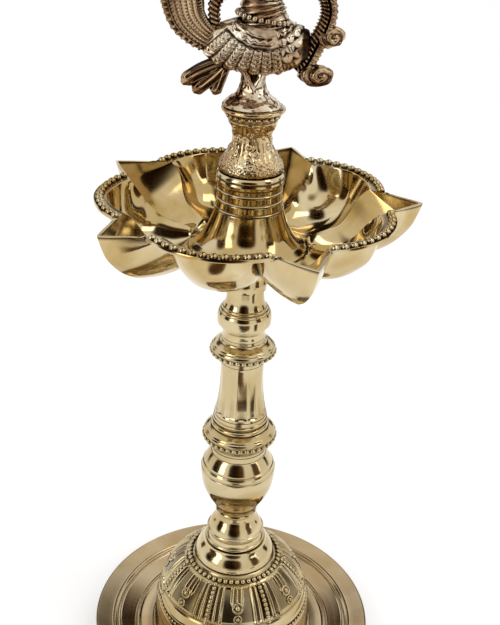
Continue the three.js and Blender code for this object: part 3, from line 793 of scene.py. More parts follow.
def half_sector(row):
    """Points from a beak's middle to the next lobe's middle, as (along, beside, depth)."""
    reach, depth = eased(beak_floor, row)
    along, beside, crest = eased(ridge_line, row, RIM_ROW)
    lobe_reach, lobe_depth = eased(lobe_floor, row, RIM_ROW)
    points = []
    for i in range(BEAK_POINTS):
        share = i / BEAK_POINTS
        points.append((
            reach + (along - reach) * share,
            share * beside,
            depth + (crest - depth) * share**BEAK_FLANK,
        ))
    half = math.pi / BEAKS
    # Inner rows sweep about the bowl's middle, and outer rows about the lobe's middle.
    centre = LOBE_CENTRE * step_up(row, LOBE_ROW, 1)
    x = along * math.cos(half) + beside * math.sin(half) - centre
    y = along * math.sin(half) - beside * math.cos(half)
    for i in range(LOBE_POINTS + 1):
        share = 1 - (1 - i / LOBE_POINTS) ** LOBE_SPACING
        radius = math.hypot(x, y) + (lobe_reach - centre - math.hypot(x, y)) * share
        turn = math.atan2(y, x) * (1 - share)
        px = centre + radius * math.cos(turn)
        py = radius * math.sin(turn)
        # The lobe's section is close to a half circle, so it drops quickly beside the ridge.
        rise = 1 - math.sqrt(1 - LOBE_ROUNDNESS * (1 - share) ** 2)
        height = lobe_depth + (crest - lobe_depth) * rise / (1 - math.sqrt(1 - LOBE_ROUNDNESS))
        if row > RIM_ROW:
            height -= sum(ridge(row - RIM_ROW - at, width, lift) for at, width, lift in RIM_LINES)
        points.append((
            px * math.cos(half) + py * math.sin(half),
            px * math.sin(half) - py * math.cos(half),
            height,
        ))
    return points


def whole_ring(half):
    """Mirrors a half sector and turns it round the bowl."""
    ring = []
    for beak in range(BEAKS):
        turn = Matrix.Rotation(beak * 2 * math.pi / BEAKS, 3, "Z")
        for x, y, depth in reversed(half[1:-1]):
            ring.append(turn @ Vector((x, -y, -depth)))
        for x, y, depth in half:
            ring.append(turn @ Vector((x, y, -depth)))
    return ring


SOFT_EDGE = math.radians(42)
SKIN_WELD = 0.004 * MM


def skinned(name, rings, painted_shades, closed=False):
    """Joins rings of points into a closed skin. Without closed, each end is capped with a fan. The third
    argument gives a painted shade value, 0 to 1, for each point of each ring."""
    mesh = bmesh.new()
    layer = mesh.verts.layers.float.new("painted_shade")
    rows = [[mesh.verts.new(Vector(point) * MM) for point in ring] for ring in rings]
    for row, values in zip(rows, painted_shades):
        for vertex, value in zip(row, values):
            vertex[layer] = value
    count = len(rings[0])
    for low, high in zip(rows, rows[1:] + (rows[:1] if closed else [])):
        for i in range(count):
            j = (i + 1) % count
            mesh.faces.new((low[i], low[j], high[j], high[i]))
    if not closed:
        for row in (rows[0], rows[-1]):
            tip = mesh.verts.new(sum((v.co for v in row), Vector()) / count)
            for i in range(count):
                mesh.faces.new((row[i], row[(i + 1) % count], tip))
    bmesh.ops.remove_doubles(mesh, verts=mesh.verts, dist=SKIN_WELD)
    bmesh.ops.recalc_face_normals(mesh, faces=mesh.faces)
    data = bpy.data.meshes.new(name)
    mesh.to_mesh(data)
    mesh.free()
    piece = bpy.data.objects.new(name, data)
    bpy.context.collection.objects.link(piece)
    start_piece()
    piece.select_set(True)
    bpy.context.view_layer.objects.active = piece
    bpy.ops.object.shade_smooth_by_angle(angle=SOFT_EDGE)
    return piece


RIM_ROWS = [6.9, 7, 7.03, 7.06, 7.09, 7.14, 7.3, 7.5, 7.7, 7.85, 7.9, 7.93, 7.96, 8]
bowl_rows = [i / 5 for i in range(RIM_ROW * 5)] + RIM_ROWS
inner = [whole_ring(half_sector(row)) for row in bowl_rows]
columns_round = len(inner[0])
TIP_COLUMN = BEAK_POINTS + LOBE_POINTS - 1


def near_beak(column):
    """Whether a column of points runs up a beak."""
    return abs(column % (columns_round // BEAKS) - TIP_COLUMN) <= BEAK_POINTS


# The outside lies a wall's thickness off the inside. Its way out is taken over some points, so that the
# beaks' tips stay blunt. A lobe's rim is flat and gets its thickness straight down, and a beak's lip
# gets it sideways.
BLUNT = 3
STEEP = 0.3
outer = []
for i, ring in enumerate(inner):
    moved = []
    for j, point in enumerate(ring):
        across = ring[(j + BLUNT) % columns_round] - ring[j - BLUNT]
        outward = inner[min(i + 1, len(inner) - 1)][j] - inner[max(i - 1, 0)][j]
        normal = outward.cross(across).normalized()
        if bowl_rows[i] > RIM_ROW:
            flat = Vector((normal.x, normal.y, 0))
            normal = flat.normalized() if near_beak(j) and flat.length > STEEP else Vector((0, 0, 1))
        moved.append(point - normal * BOWL_WALL)
    outer.append(moved)


def round_hub(radius, depth):
    """A round ring of the skin, with its points in line with the innermost row."""
    return [Vector((*(p.to_2d().normalized() * radius), -depth)) for p in inner[0]]


tube_side = [(BORE, 0), (TUBE, 0), (TUBE, HUB_FLOOR), (26, HUB_FLOOR)]
hub_rings = [round_hub(radius, depth) for radius, depth in tube_side]
BOSS_BAND = BOSS + 0.5
boss_side = [
    (24, 31.6), (18, 32.8), (14, 33.6), (12.6, 34.6), (11.9, 36.4), (BOSS, 40), (BOSS, 46.2),
    (BOSS_BAND, 46.8), (BOSS_BAND, 48.2), (BOSS, 48.8), (BOSS, BOSS_DEPTH), (RECESS, BOSS_DEPTH),
    (RECESS, BOSS_DEPTH - RECESS_DEPTH), (BORE, BOSS_DEPTH - RECESS_DEPTH),
]
under_rings = [round_hub(radius, depth) for radius, depth in boss_side]
bowl_rings = hub_rings + inner + outer[:0:-1] + under_rings
lift = Vector((0, 0, rim_level))
# A dark line of painted shade lies under the beaks' lips and between the rim's beads. The painted
# shade between the beads goes by row, and the beaks have theirs in the rows of the lip.
SHADE_BETWEEN_BEADS = {7.14: 0.3, 7.3: 0.5, 7.5: 0.5, 7.7: 0.5, 7.85: 0.5, 7.9: 0.2}
INNER_LIP = (7.85, 7.9, 7.93)
OUTER_LIP = (7.85, 7.9)
BEAK_LIP_SHADE = 0.85
inner_painted_shade = [[SHADE_BETWEEN_BEADS.get(row, 0)] * columns_round for row in bowl_rows]
for row, values in zip(bowl_rows, inner_painted_shade):
    for j in range(columns_round):
        if near_beak(j):
            values[j] = BEAK_LIP_SHADE if row in INNER_LIP else 0.0
no_painted_shade = [0.0] * columns_round
outer_painted_shade = [values if row in OUTER_LIP else no_painted_shade for row, values in zip(bowl_rows, inner_painted_shade)]
bowl_painted_shades = [no_painted_shade] * len(hub_rings) + inner_painted_shade + outer_painted_shade[:0:-1] + [no_painted_shade] * len(under_rings)
lifted = [[point + lift for point in ring] for ring in bowl_rings]
bowl = skinned("oil_bowl_finish", lifted, bowl_painted_shades, closed=True)
RIM_BEADS = 13
RIM_BEAD_SIZE = 4.3
RIM_BEAD_LIFT = 0.5
BEAD_ARC = 45.2
BEAD_SPREAD = 39.3
rim_places = []
for lobe in range(BEAKS):
    middle = (lobe + 0.5) * 360 / BEAKS
    for i in range(RIM_BEADS):
        turn = middle + BEAD_SPREAD * (2 * i / (RIM_BEADS - 1) - 1)
        lobe_middle = polar(LOBE_CENTRE, middle, rim_level + RIM_BEAD_LIFT)
        rim_places.append((lobe_middle + polar(BEAD_ARC, turn, 0), (0, 0, 1)))
rim_beads = beads("rim_beads", rim_places, RIM_BEAD_SIZE, flat=0.85)
bowl = joined("oil_bowl_finish", [bowl, rim_beads])
BOWL_PALE = (0.68, 0.565, 0.34)
BOWL_GOLD = (0.45, 0.30, 0.10)
bowl_brass = brass("bowl_brass", BOWL_PALE, BOWL_GOLD, 0.10, dirt_and_shade=0.9, dirt_and_shade_depth=2.4 * MM)
fitted(bowl, "bowl", "brass", bowl_brass, "oil_bowl")

# Bell over the bowl's middle.
# A flared brass shell, turned smooth, with three raised lines and a moulded rim. It covers the hub
# and hides the lock nut.

BELL_HEIGHT = 42.7
NUT_WELL_FLOOR = BELL_HEIGHT - 8
CROWN = 24
TUBE_SOCKET = TUBE + 0.3
TUBE_STOP = CROWN + 3
bell_side = corners(
    [[31.7, 0], [31.6, 0.7], [31, 1.3]],
    [[31, 1.3], [27.3, 3.6], [23, 8.9], [20.4, 15], [18.6, 20.6], [17.5, 26], [17.1, 31], [17.1, 36]],
    [[17.2, 36.2], [17.8, 37], [18, 38.4], [17.7, 39.6]],
    [[17.3, 39.8], [17.8, 40.5], [17.6, 41.6], [16.9, BELL_HEIGHT]],
    step=0.2,
)
BELL_LEVELS = (33.2, 28.2, 23.2)
bell_lines = []
for height in BELL_LEVELS:
    bell_lines += [(height, -0.34, 0.65), (height + 0.6, 0.12, 0.45), (height - 0.6, 0.12, 0.45)]
bell_side = lined(bell_side, bell_lines)
bell_inside = corners(
    [[16.9, BELL_HEIGHT], [10, BELL_HEIGHT]],
    [[10, BELL_HEIGHT], [10, NUT_WELL_FLOOR]],
    [[10, NUT_WELL_FLOOR], [BORE, NUT_WELL_FLOOR]],
    [[BORE, NUT_WELL_FLOOR], [BORE, TUBE_STOP]],
    [[BORE, TUBE_STOP], [TUBE_SOCKET, TUBE_STOP]],
    [[TUBE_SOCKET, TUBE_STOP], [TUBE_SOCKET, CROWN]],
    [[TUBE_SOCKET, CROWN], [14.6, CROWN]],
    [[14.6, CROWN], [15.6, 20], [20.4, 8.2], [25.2, 3], [29.1, 0]],
    step=4,
)
bell_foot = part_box("centre_bell")[0].z
bell = turned("centre_bell_finish", bell_side + bell_inside[1:], bell_foot, sides=144)
BELL_GROOVES = [level + side for level in BELL_LEVELS for side in (0.62, -0.62)] + [39.7, 36.1]
# The grooves beside the bell's raised lines and under its rim mouldings are darkened with painted shade.
with_painted_shade(bell, lambda point: max(ridge(point.z - bell_foot / MM - level, 0.7, 0.7) for level in BELL_GROOVES))
fitted(bell, "bowl", "brass", polished, "centre_bell")

# Pedestal of the bird.
# A waisted brass casting with a rough skin: a stippled foot, six vines between low ridges on the waist,
# and a row of small blocks under the collar. The tie rod is screwed into it from below.

WORN_PALE = (0.70, 0.56, 0.34)
WORN_DARK = (0.36, 0.19, 0.045)
worn = brass("worn_brass", WORN_PALE, WORN_DARK, 0.17, dirt_and_shade=0.95, dirt_and_shade_depth=1.6 * MM)
PEDESTAL_HEIGHT = 33.8
ROD_HOLE = 4.3
THREAD_DEPTH = 20
pedestal_side = corners(
    [[15.9, 0], [16.7, 1], [16.9, 2.2], [16.6, 3.6], [14.8, 6.8], [12.2, 10.6], [10.6, 14.2], [10.1, 17.6],
     [10.5, 21.2], [11.6, 24.2], [13, 26.6], [13.5, 28]],
    [[13.4, 28.2], [13.8, 29.6], [14.2, 30.6], [16, 31.2], [16.3, 32.2], [16, 33.2],
     [14.8, PEDESTAL_HEIGHT]],
    step=0.35,
)
pedestal_inside = corners(
    [[14.8, PEDESTAL_HEIGHT], [0, PEDESTAL_HEIGHT]],
    [[0, THREAD_DEPTH], [ROD_HOLE, THREAD_DEPTH]],
    [[ROD_HOLE, THREAD_DEPTH], [ROD_HOLE, 0]],
    [[ROD_HOLE, 0], [15.9, 0]],
    step=6,
)
pedestal_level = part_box("finial_pedestal")[0].z
pedestal_outline = pedestal_side + pedestal_inside[1:-1]
pedestal = turned("finial_pedestal_finish", pedestal_outline, pedestal_level, sides=240)


def rough(point, size, height):
    """The uneven skin of a casting, with bumps of about the size, up to the height."""
    return height * noise.noise(point / size, noise_basis="PERLIN_ORIGINAL")


PEDESTAL_CORE = 9.5
FACE_EDGE = 0.3
WAIST_BOTTOM = 8
WAIST_TOP = 26.4
WAIST_RIDGES = 18
WAIST_RADIUS = 10.4
VINE_PITCH = 60
LEAF_PITCH = 3.2
BLOCKS = 22
BLOCK_LEVEL = 29.4
BLOCK_RADIUS = 13.3


def pedestal_relief(point):
    """The casting's skin. The rod's hole and the two faces stay plain."""
    height = point.z - pedestal_level / MM
    on_face = height < FACE_EDGE or height > PEDESTAL_HEIGHT - FACE_EDGE
    if math.hypot(point.x, point.y) < PEDESTAL_CORE or on_face:
        return 0
    degrees = math.degrees(math.atan2(point.y, point.x))
    lay = rough(point, 1.5, 0.12)
    stipple = 1 - step_up(height, WAIST_BOTTOM, 3)
    lay += stipple * rough(point, 0.8, 0.5)
    # The waist has low upright ridges, and six vines with curled leaves.
    waist = step_up(height, WAIST_BOTTOM, 2) * (1 - step_up(height, WAIST_TOP, 1))
    ridges = 0.1 * math.cos(math.radians(degrees) * WAIST_RIDGES)
    beside = math.radians((degrees % VINE_PITCH) - VINE_PITCH / 2) * WAIST_RADIUS
    stem = ridge(beside - 0.8 * math.sin(height * 0.9), 1.0, 0.55)
    leaf_side = 1 if int(height / LEAF_PITCH) % 2 else -1
    leaf = ridge(math.hypot(beside - 1.7 * leaf_side, height % LEAF_PITCH - 1.6) - 0.9, 0.9, 0.55)
    lay += waist * (ridges + stem + leaf)
    # Under the collar the ground lies deeper, between the blocks.
    lay -= ridge(height - BLOCK_LEVEL, 3.2, 0.5) + ridge(height - 27, 0.9, 0.4)
    return lay


# The pedestal's low ground, between its vines, ridges and blocks, is darkened with painted shade.
shaped(pedestal, pedestal_relief, shade_range=(-0.6, -0.2))
blocks = []
for i in range(BLOCKS):
    degrees = 360 * i / BLOCKS
    way = polar(1, degrees, -0.25)
    blocks.append((polar(BLOCK_RADIUS, degrees, pedestal_level / MM + BLOCK_LEVEL), way))
dentils = beads("pedestal_blocks", blocks, 2.9)
pedestal = joined("finial_pedestal_finish", [pedestal, dentils])
fitted(pedestal, "finial", "antique_brass", worn, "finial_pedestal")

# Perch of the bird.
# A small domed rock with the bird's two legs, cast in brass on top of the pedestal. The legs part as they
# rise, like a V.

bird_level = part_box("finial_pedestal")[1].z / MM


THINNEST = 0.15


def lofted(name, stations, sides, step=0.5, relief=None, squareness=1.0, shade_range=(-0.35, 0.1)):
    """A body with oval sections along a line in the XZ plane. A station is (x, z, half depth, half
    width) in millimetres from the pedestal's top. relief(way, across, side, share) raises the skin:
    way is the distance along the line, across is -1 to 1 in the plane, side is -1 to 1 along Y. Where
    the relief is low, the skin is darkened with painted shade: fully below the shade range's first value,
    and not at all above its second."""
    line = smooth_through([list(station) for station in stations], step)
    rings = []
    painted_shades = []
    way = 0.0
    total = sum(math.dist(a[:2], b[:2]) for a, b in zip(line, line[1:]))
    for i, (x, z, depth, width) in enumerate(line):
        before = line[max(i - 1, 0)]
        after = line[min(i + 1, len(line) - 1)]
        along = Vector((after[0] - before[0], after[1] - before[1])).normalized()
        if i:
            way += math.dist(line[i - 1][:2], line[i][:2])
        depth = max(depth, THINNEST)
        width = max(width, THINNEST)
        ring = []
        painted_shade = []
        for j in range(sides):
            angle = 2 * math.pi * j / sides
            across = math.copysign(abs(math.cos(angle)) ** squareness, math.cos(angle))
            side = math.copysign(abs(math.sin(angle)) ** squareness, math.sin(angle))
            lay = relief(way, across, side, way / total) if relief else 0.0
            out = (depth + lay) * across
            ring.append((x + along.y * out, (width + lay) * side, bird_level + z - along.x * out))
            painted_shade.append(min(max((shade_range[1] - lay) / (shade_range[1] - shade_range[0]), 0), 1) if relief else 0.0)
        rings.append(ring)
        painted_shades.append(painted_shade)
    return skinned(name, rings, painted_shades)


ROCK_TOP = 0.45
LEGS_FROM = 0.42
LEG_SPREAD = 4.6
LEG_WIDTH = 2.8
LEG_HEIGHT = 1.9
PERCH_HALF = 7


def perch_relief(way, across, side, share):
    """A lumpy rock below, and above it two legs that part as they rise, with a hollow between them."""
    lay = 0.0
    if share < ROCK_TOP:
        lay += 0.5 * math.sin(across * 5 + side * 3) * (ROCK_TOP - share)
    leg = max(share - LEGS_FROM, 0) / (1 - LEGS_FROM)
    if leg > 0:
        place = across * PERCH_HALF
        legs = sum(ridge(place + part * LEG_SPREAD * leg, LEG_WIDTH, LEG_HEIGHT) for part in (1, -1))
        lay += leg**0.5 * (legs - 0.9)
        lay -= ridge(place, LEG_SPREAD, 2.6 * leg)
    return lay


ANTIQUE_PALE = (0.90, 0.80, 0.62)
ANTIQUE_DARK = (0.33, 0.15, 0.035)
antique = brass("antique_brass", ANTIQUE_PALE, ANTIQUE_DARK, 0.16, dirt_and_shade=1.0, dirt_and_shade_depth=2.6 * MM)
perch_stations = [
    (-0.8, 0.3, 15, 14), (-0.8, 1.6, 14.2, 13.2), (-0.8, 3.2, 12.2, 11.2), (-0.8, 5.4, 9.3, 8.6),
    (-0.8, 7.8, 7.6, 7.0), (-0.8, 11, 6.9, 6.2), (-0.8, 16, 7.0, 6.2), (-0.8, 18, 7.2, 6.4),
]
# The hollow between the perch's legs and the dips of its rock are darkened with painted shade.
perch = lofted("bird_perch_finish", perch_stations, sides=96, relief=perch_relief, shade_range=(-1.2, -0.2))
shaped(perch, lambda point: rough(point, 2.6, 0.35) + rough(point, 1.1, 0.15))
fitted(perch, "finial", "antique_brass", antique, "bird_perch")

# Body of the bird.
# A solid brass casting. Long feathers with a chevron pattern spread over each side from the back,
# rows of scales cover the breast, and a bead necklace lies round the foot of the neck.

body_stations = [
    (-26.6, 27.2, 0.6, 0.6), (-25.6, 27.4, 3.6, 3.0), (-21.5, 28.4, 8.3, 6.9), (-15, 29.4, 11.6, 9.9),
    (-7, 29.9, 13.4, 11.9), (2, 29.8, 14.2, 12.5), (10, 30, 13.6, 11.9), (17, 31.8, 12, 9.7),
    (21.5, 35, 8.4, 6.4), (24.2, 37.2, 3.6, 2.8), (25, 38, 0.6, 0.6),
]
body = lofted("bird_body_finish", body_stations, sides=288, step=0.35)
# The feathers spread like a fan about a point over the back, and are measured by distance and angle.
FAN_CENTRE = (4.0, 56.0)
FAN_START = -48.0
FEATHER_PITCH = 9.0
FEATHERS = 7
FEATHER_ROOT = 25.6
CHEVRON_PITCH = 2.3
SCALE_LENGTH = 4.3
SCALE_PITCH = 10
PETAL_HALF_ARC = 46
PETALS_FROM = 33
PETAL_PLACE = 22.8
PETAL_EDGE = 20.4
BACK_STRIP = 1.6


def body_relief(point):
    """Feathers on the sides, scales on the breast and petals on the back."""
    x = point.x
    z = point.z - bird_level
    away = math.hypot(x - FAN_CENTRE[0], FAN_CENTRE[1] - z)
    angle = math.degrees(math.atan2(x - FAN_CENTRE[0], FAN_CENTRE[1] - z))
    flank = step_up(abs(point.y), BACK_STRIP, 1.5)
    lay = rough(point, 2.5, 0.15)
    index = (angle - FAN_START) / FEATHER_PITCH
    if 0 <= index < FEATHERS:
        place = 2 * (index % 1) - 1
        chevron = math.sin(2 * math.pi * (away / CHEVRON_PITCH + 0.55 * abs(place)))
        vane = 1.15 * math.sqrt(max(1 - place**2, 0)) - 0.85 + 0.5 * chevron * (1 - abs(place))
        vane *= step_up(away, FEATHER_ROOT + 0.9, 1.5)
        lay += flank * (vane - ridge(away - FEATHER_ROOT, 1.6, 0.45))
    elif index >= FEATHERS:
        # Breast scales: rows of overlapping rounded feathers.
        row = away / SCALE_LENGTH
        v = row % 1
        u = 2 * ((angle / SCALE_PITCH + 0.5 * (int(row) % 2)) % 1) - 1
        inside = step_up(0.3 + 0.65 * math.sqrt(1 - u * u) - v, 0, 0.15)
        lay += inside * (0.35 + 0.8 * v + ridge(u, 0.5, 0.2)) - 0.65
    if away < FEATHER_ROOT - 0.1 and z > PETALS_FROM and abs(angle) < PETAL_HALF_ARC:
        # A crescent of small petals on the back, over the roots of the feathers.
        petal = math.sin(math.radians(angle) * 34)
        petals = ridge(away - PETAL_PLACE - 0.5 * petal, 1.5, 0.45)
        lay += flank * (petals + ridge(away - PETAL_EDGE, 1.2, 0.35) - 0.1)
    return lay


# The grooves between the feathers and between the breast's scales are darkened with painted shade.
shaped(body, body_relief, shade_range=(-0.45, 0.0))
# The side of the breast that faces the scroll is painted black, as shade from the scroll.
SHADED_FROM = 21.5
with_painted_shade(body, lambda point: step_up(point.x, SHADED_FROM, 2.5))
NECKLACE_BEADS = 26
NECKLACE_BEAD = 2.9
NECKLACE_MIDDLE = 2.9
NECKLACE_REACH = 12.7
NECKLACE_WIDTH = 9.8
NECKLACE_LEVEL = 43.4
NECKLACE_DROP = 2.142
necklace_places = []
for i in range(NECKLACE_BEADS):
    turn = 2 * math.pi * i / NECKLACE_BEADS
    place = Vector((
        NECKLACE_MIDDLE + NECKLACE_REACH * math.cos(turn),
        NECKLACE_WIDTH * math.sin(turn),
        bird_level + NECKLACE_LEVEL - NECKLACE_DROP * math.cos(turn),
    ))
    necklace_places.append((place, Vector((math.cos(turn), math.sin(turn), 0.5))))
necklace = beads("necklace", necklace_places, NECKLACE_BEAD, flat=0.9)
body = joined("bird_body_finish", [body, necklace])
fitted(body, "finial", "antique_brass", antique, "bird_body")

# Head of the bird.
# Cast in brass. The neck rises from folded collars, bends forward and ends in a curved beak. Each side
# has an eye in a raised lid, and small feathers cover the neck.

head_stations = [
    (3.4, 38.5, 11.6, 9.0), (3.0, 43.6, 11.6, 9.1), (2.4, 46.4, 11.1, 8.9), (1.9, 51, 9.9, 8.3),
    (2.3, 56, 8.2, 7.3), (4, 61.5, 7.1, 6.5), (7.4, 66.4, 6.9, 6.3), (12.2, 68.8, 6.5, 5.9),
    (16.6, 67.8, 4.9, 4.5), (20.2, 65, 3.2, 3.1), (23.6, 61, 1.9, 1.8), (25.6, 57.8, 0.7, 0.7),
]
COLLARS_TO = 14
COLLAR_PITCH = 2.9
FEATHERS_TO = 0.62
NECK_ROW = 2.6
HALF_ROUND_FEATHERS = 9
BEAK_FROM = 0.74


def head_relief(way, across, side, share):
    """Collars at the foot of the neck, small feathers above them, and the beak's lines."""
    lay = 0.0
    if way < COLLARS_TO:
        lay += 0.5 * math.sin(2 * math.pi * (way - 0.8 * across) / COLLAR_PITCH)
    elif share < FEATHERS_TO:
        row = way / NECK_ROW
        shift = 0.5 if int(row) % 2 else 0.0
        column = math.atan2(side, across) * HALF_ROUND_FEATHERS / math.pi + shift
        u = 2 * (column % 1) - 1
        edge = (row % 1) - 0.5 * u * u
        lay += 0.6 * step_up(edge, 0.1, 0.3) - 0.35
    elif share > BEAK_FROM:
        # The beak's two halves meet in a groove along each side.
        lay -= ridge(across + 0.25, 0.35, 0.5)
        lay -= ridge(share - BEAK_FROM - 0.005, 0.02, 0.25)
    return lay


# The folds of the collars and the edges of the neck's feathers are darkened with painted shade.
head = lofted(
    "bird_head_finish", head_stations, sides=120, step=0.35, relief=head_relief, shade_range=(-0.6, -0.1),
)
EYE_SIZE = 4.4
eyes = []
for side in (-1, 1):
    place = Vector((10.9, side * 5.75, bird_level + 69.6))
    out = Vector((0.1, side, 0.12))
    eyes.append(ring_bead("eye", place, out, EYE_SIZE))
head = joined("bird_head_finish", [head, *eyes])
fitted(head, "finial", "antique_brass", antique, "bird_head")

# Crest.
# Three flat brass plumes with drop-shaped ends, which spread like a fan. They are cast in one with the
# top of the head.

crest_plumes = [
    [
        (9.4, 72.2, 1.8, 1.6), (5.5, 78, 1.5, 1.3), (1.9, 82, 2.2, 1.6), (-0.5, 84.6, 2.9, 1.9),
        (-2.6, 86.6, 0.6, 0.5),
    ],
    [
        (9.6, 72.2, 1.8, 1.6), (8.2, 80, 1.5, 1.3), (6.9, 84.6, 2.3, 1.6), (6, 88.2, 3.1, 1.9),
        (5.2, 91.4, 0.6, 0.5),
    ],
    [
        (9.9, 72.2, 1.8, 1.6), (11, 79.5, 1.5, 1.3), (12.3, 83.2, 2.2, 1.6), (13.1, 86.6, 2.9, 1.9),
        (13.8, 89.4, 0.6, 0.5),
    ],
]
BARB_PITCH = 1.5


def plume_relief(way, across, side, share):
    """A middle rib, and slanted barbs on the wide end."""
    rib = ridge(across, 0.5, 0.35)
    barbs = math.sin(2 * math.pi * (way / BARB_PITCH + abs(across)))
    return rib + 0.16 * barbs * step_up(share, 0.4, 0.2)


# Where a plume's relief is low, beside its rib and between its barbs, it is darkened with painted shade.
crest = joined("bird_crest_finish", [
    lofted(f"plume_{i}", plume, sides=40, relief=plume_relief) for i, plume in enumerate(crest_plumes)
])
fitted(crest, "finial", "antique_brass", antique, "bird_crest")

# Tail.
# A tall flat plume of cast brass, dark with smoke, that sweeps up behind the bird and curls over at the
# top. Its outer border is a ladder of short bars, and six slim ribs run along it.

SMOKED_PALE = (0.66, 0.47, 0.27)
SMOKED_DARK = (0.11, 0.03, 0.007)
smoked = brass("smoked_brass", SMOKED_PALE, SMOKED_DARK, 0.12, dirt_and_shade=1.0, dirt_and_shade_depth=2.6 * MM)
tail_stations = [
    (-16.8, 31.1, 6.2, 4.8), (-22.4, 32.2, 6.4, 4.5), (-28.4, 36, 7.8, 4.5), (-33.6, 42.2, 9.4, 4.7),
    (-35.8, 49.6, 10.4, 4.8), (-37.4, 59.4, 10.8, 4.8), (-37, 70, 10.8, 4.6), (-33.6, 80.6, 10.6, 4.4),
    (-27.2, 89, 9.7, 4), (-18.6, 93.8, 7.7, 3.3), (-11.4, 94.7, 4.9, 2.3), (-6.8, 92.8, 1.6, 1),
]


TAIL_GROUND = -0.35
LADDER = (-0.94, -0.68)
BAR_PITCH = 2.5
TAIL_RIBS = (-0.5, -0.24, 0.02, 0.28, 0.54, 0.82)


def tail_relief(way, across, side, share):
    """Two rails with short bars between them on the outer border, then the ribs. The tip is plain."""
    lay = TAIL_GROUND
    lay += ridge(across + 0.97, 0.14, 0.5) + ridge(across + 0.66, 0.10, 0.6)
    if LADDER[0] < across < LADDER[1]:
        lay += 0.8 * step_up(math.sin(2 * math.pi * way / BAR_PITCH), 0.1, 0.8)
    for place in TAIL_RIBS:
        lay += ridge(across - place, 0.17, 0.9)
    lay += 0.07 * math.sin(2 * math.pi * (way / 1.6 - 3 * across)) * step_up(across, -0.6, 0.1)
    return lay * (1 - step_up(share, 0.97, 0.04))


# The tail's ground between its ribs and bars is darkened with painted shade.
tail = lofted(
    "bird_tail_finish", tail_stations, sides=180, step=0.35, relief=tail_relief, squareness=0.75,
    shade_range=(-0.3, 0.2),
)
fitted(tail, "finial", "antique_brass", smoked, "bird_tail")

# Curl in front of the tail.
# A small notched strand of cast brass that stands on the back, between the tail and the neck. It rolls
# forward at its tip.

curl_stations = [
    (-20, 37.4, 2.9, 2.6), (-20.8, 43, 2.6, 2.5), (-20.6, 49, 2.9, 2.7), (-18.6, 54, 4.2, 3.1),
    (-14.8, 56.7, 4.6, 3.1), (-11.2, 55.9, 3.3, 2.5), (-9.7, 53.8, 0.8, 0.8),
]
NOTCH_PITCH = 2.3
NOTCH_HEIGHT = 0.4


def curl_relief(way, across, side, share):
    """Slanted notches between two raised borders."""
    twist = math.sin(2 * math.pi * (way / NOTCH_PITCH + 0.5 * across))
    return NOTCH_HEIGHT * twist + ridge(abs(across) - 0.97, 0.3, 0.35) - 0.1


# The curl's notches are darkened with painted shade.
curl = lofted(
    "tail_curl_finish", curl_stations, sides=72, step=0.35, relief=curl_relief, shade_range=(-0.4, 0.2),
)
fitted(curl, "finial", "antique_brass", smoked, "tail_curl")

# Tuft under the tail.
# Three feather ends that hang below the tail's root, cast in brass as one piece. Each has a middle rib,
# a ridge on each side of it and a smooth tip.

tuft_feathers = [
    [
        (-16.6, 20.8, 4.2, 4.2), (-22, 18.5, 4.6, 4.0), (-28.5, 15.4, 4.4, 3.7), (-33.4, 12, 3.7, 3.1),
        (-36, 9.8, 0.9, 0.9),
    ],
    [
        (-16, 18.6, 4.2, 4.2), (-20, 14.5, 4.4, 4.0), (-25.5, 9.8, 4.0, 3.6), (-28.9, 6.9, 2.9, 2.7),
        (-30.3, 5.6, 0.8, 0.8),
    ],
    [(-15.6, 18, 3.8, 3.8), (-17.6, 11.6, 3.6, 3.6), (-19.2, 7.1, 3.2, 3.2), (-20, 4.8, 0.8, 0.8)],
]
SMOOTH_TIP = 0.8


def tuft_relief(way, across, side, share):
    """The ribs, which fade out before the tip."""
    lay = ridge(across, 0.35, 0.7) + ridge(abs(across) - 0.62, 0.3, 0.8) - 0.5
    return lay * (1 - step_up(share, SMOOTH_TIP, 0.3)) + 0.3 * step_up(share, SMOOTH_TIP, 0.2)


# The grooves between the tuft's ribs are darkened with painted shade.
tuft = joined("tail_tuft_finish", [
    lofted(f"tuft_{i}", feather, sides=72, relief=tuft_relief, shade_range=(-0.4, 0.15))
    for i, feather in enumerate(tuft_feathers)
])
fitted(tuft, "finial", "antique_brass", smoked, "tail_tuft")

# Front scroll.
# A strand of cast brass that rises from the breast and bows forward to the beak: a twisted rope on its
# inner side and a notched band on its outer side, with two rolled buds on its lower half.

scroll_stations = [
    (21, 17.6, 3.4, 3.2), (24.4, 21.4, 4.6, 3.6), (27, 26.6, 4.7, 3.7), (29.6, 32.2, 4.6, 3.7),
    (32.4, 38, 4.4, 3.7), (34.3, 44.6, 4.1, 3.6), (34, 50.4, 4.0, 3.5), (31.4, 55.4, 3.7, 3.1),
    (28, 58.4, 2.7, 2.5), (25.2, 59.5, 0.9, 0.9),
]
ROPE_PITCH = 2.1
BAND_PITCH = 2.3


def scroll_relief(way, across, side, share):
    """The twisted rope, the notched band and the groove between them."""
    groove = ridge(across - 0.12, 0.24, 1.3)
    rope = 0.5 * math.sin(2 * math.pi * (way / ROPE_PITCH + 0.9 * across)) * step_up(-across, 0.0, 0.15)
    notches = step_up(math.sin(2 * math.pi * way / BAND_PITCH), 0, 0.8)
    band = 0.46 * notches * step_up(across, 0.22, 0.1)
    return rope + band - groove


# The scroll's groove and the hollows of its rope and notches are darkened with painted shade.
scroll = lofted(
    "front_scroll_finish", scroll_stations, sides=96, step=0.3, relief=scroll_relief, shade_range=(-0.4, 0.25),
)
fitted(scroll, "finial", "antique_brass", smoked, "front_scroll")


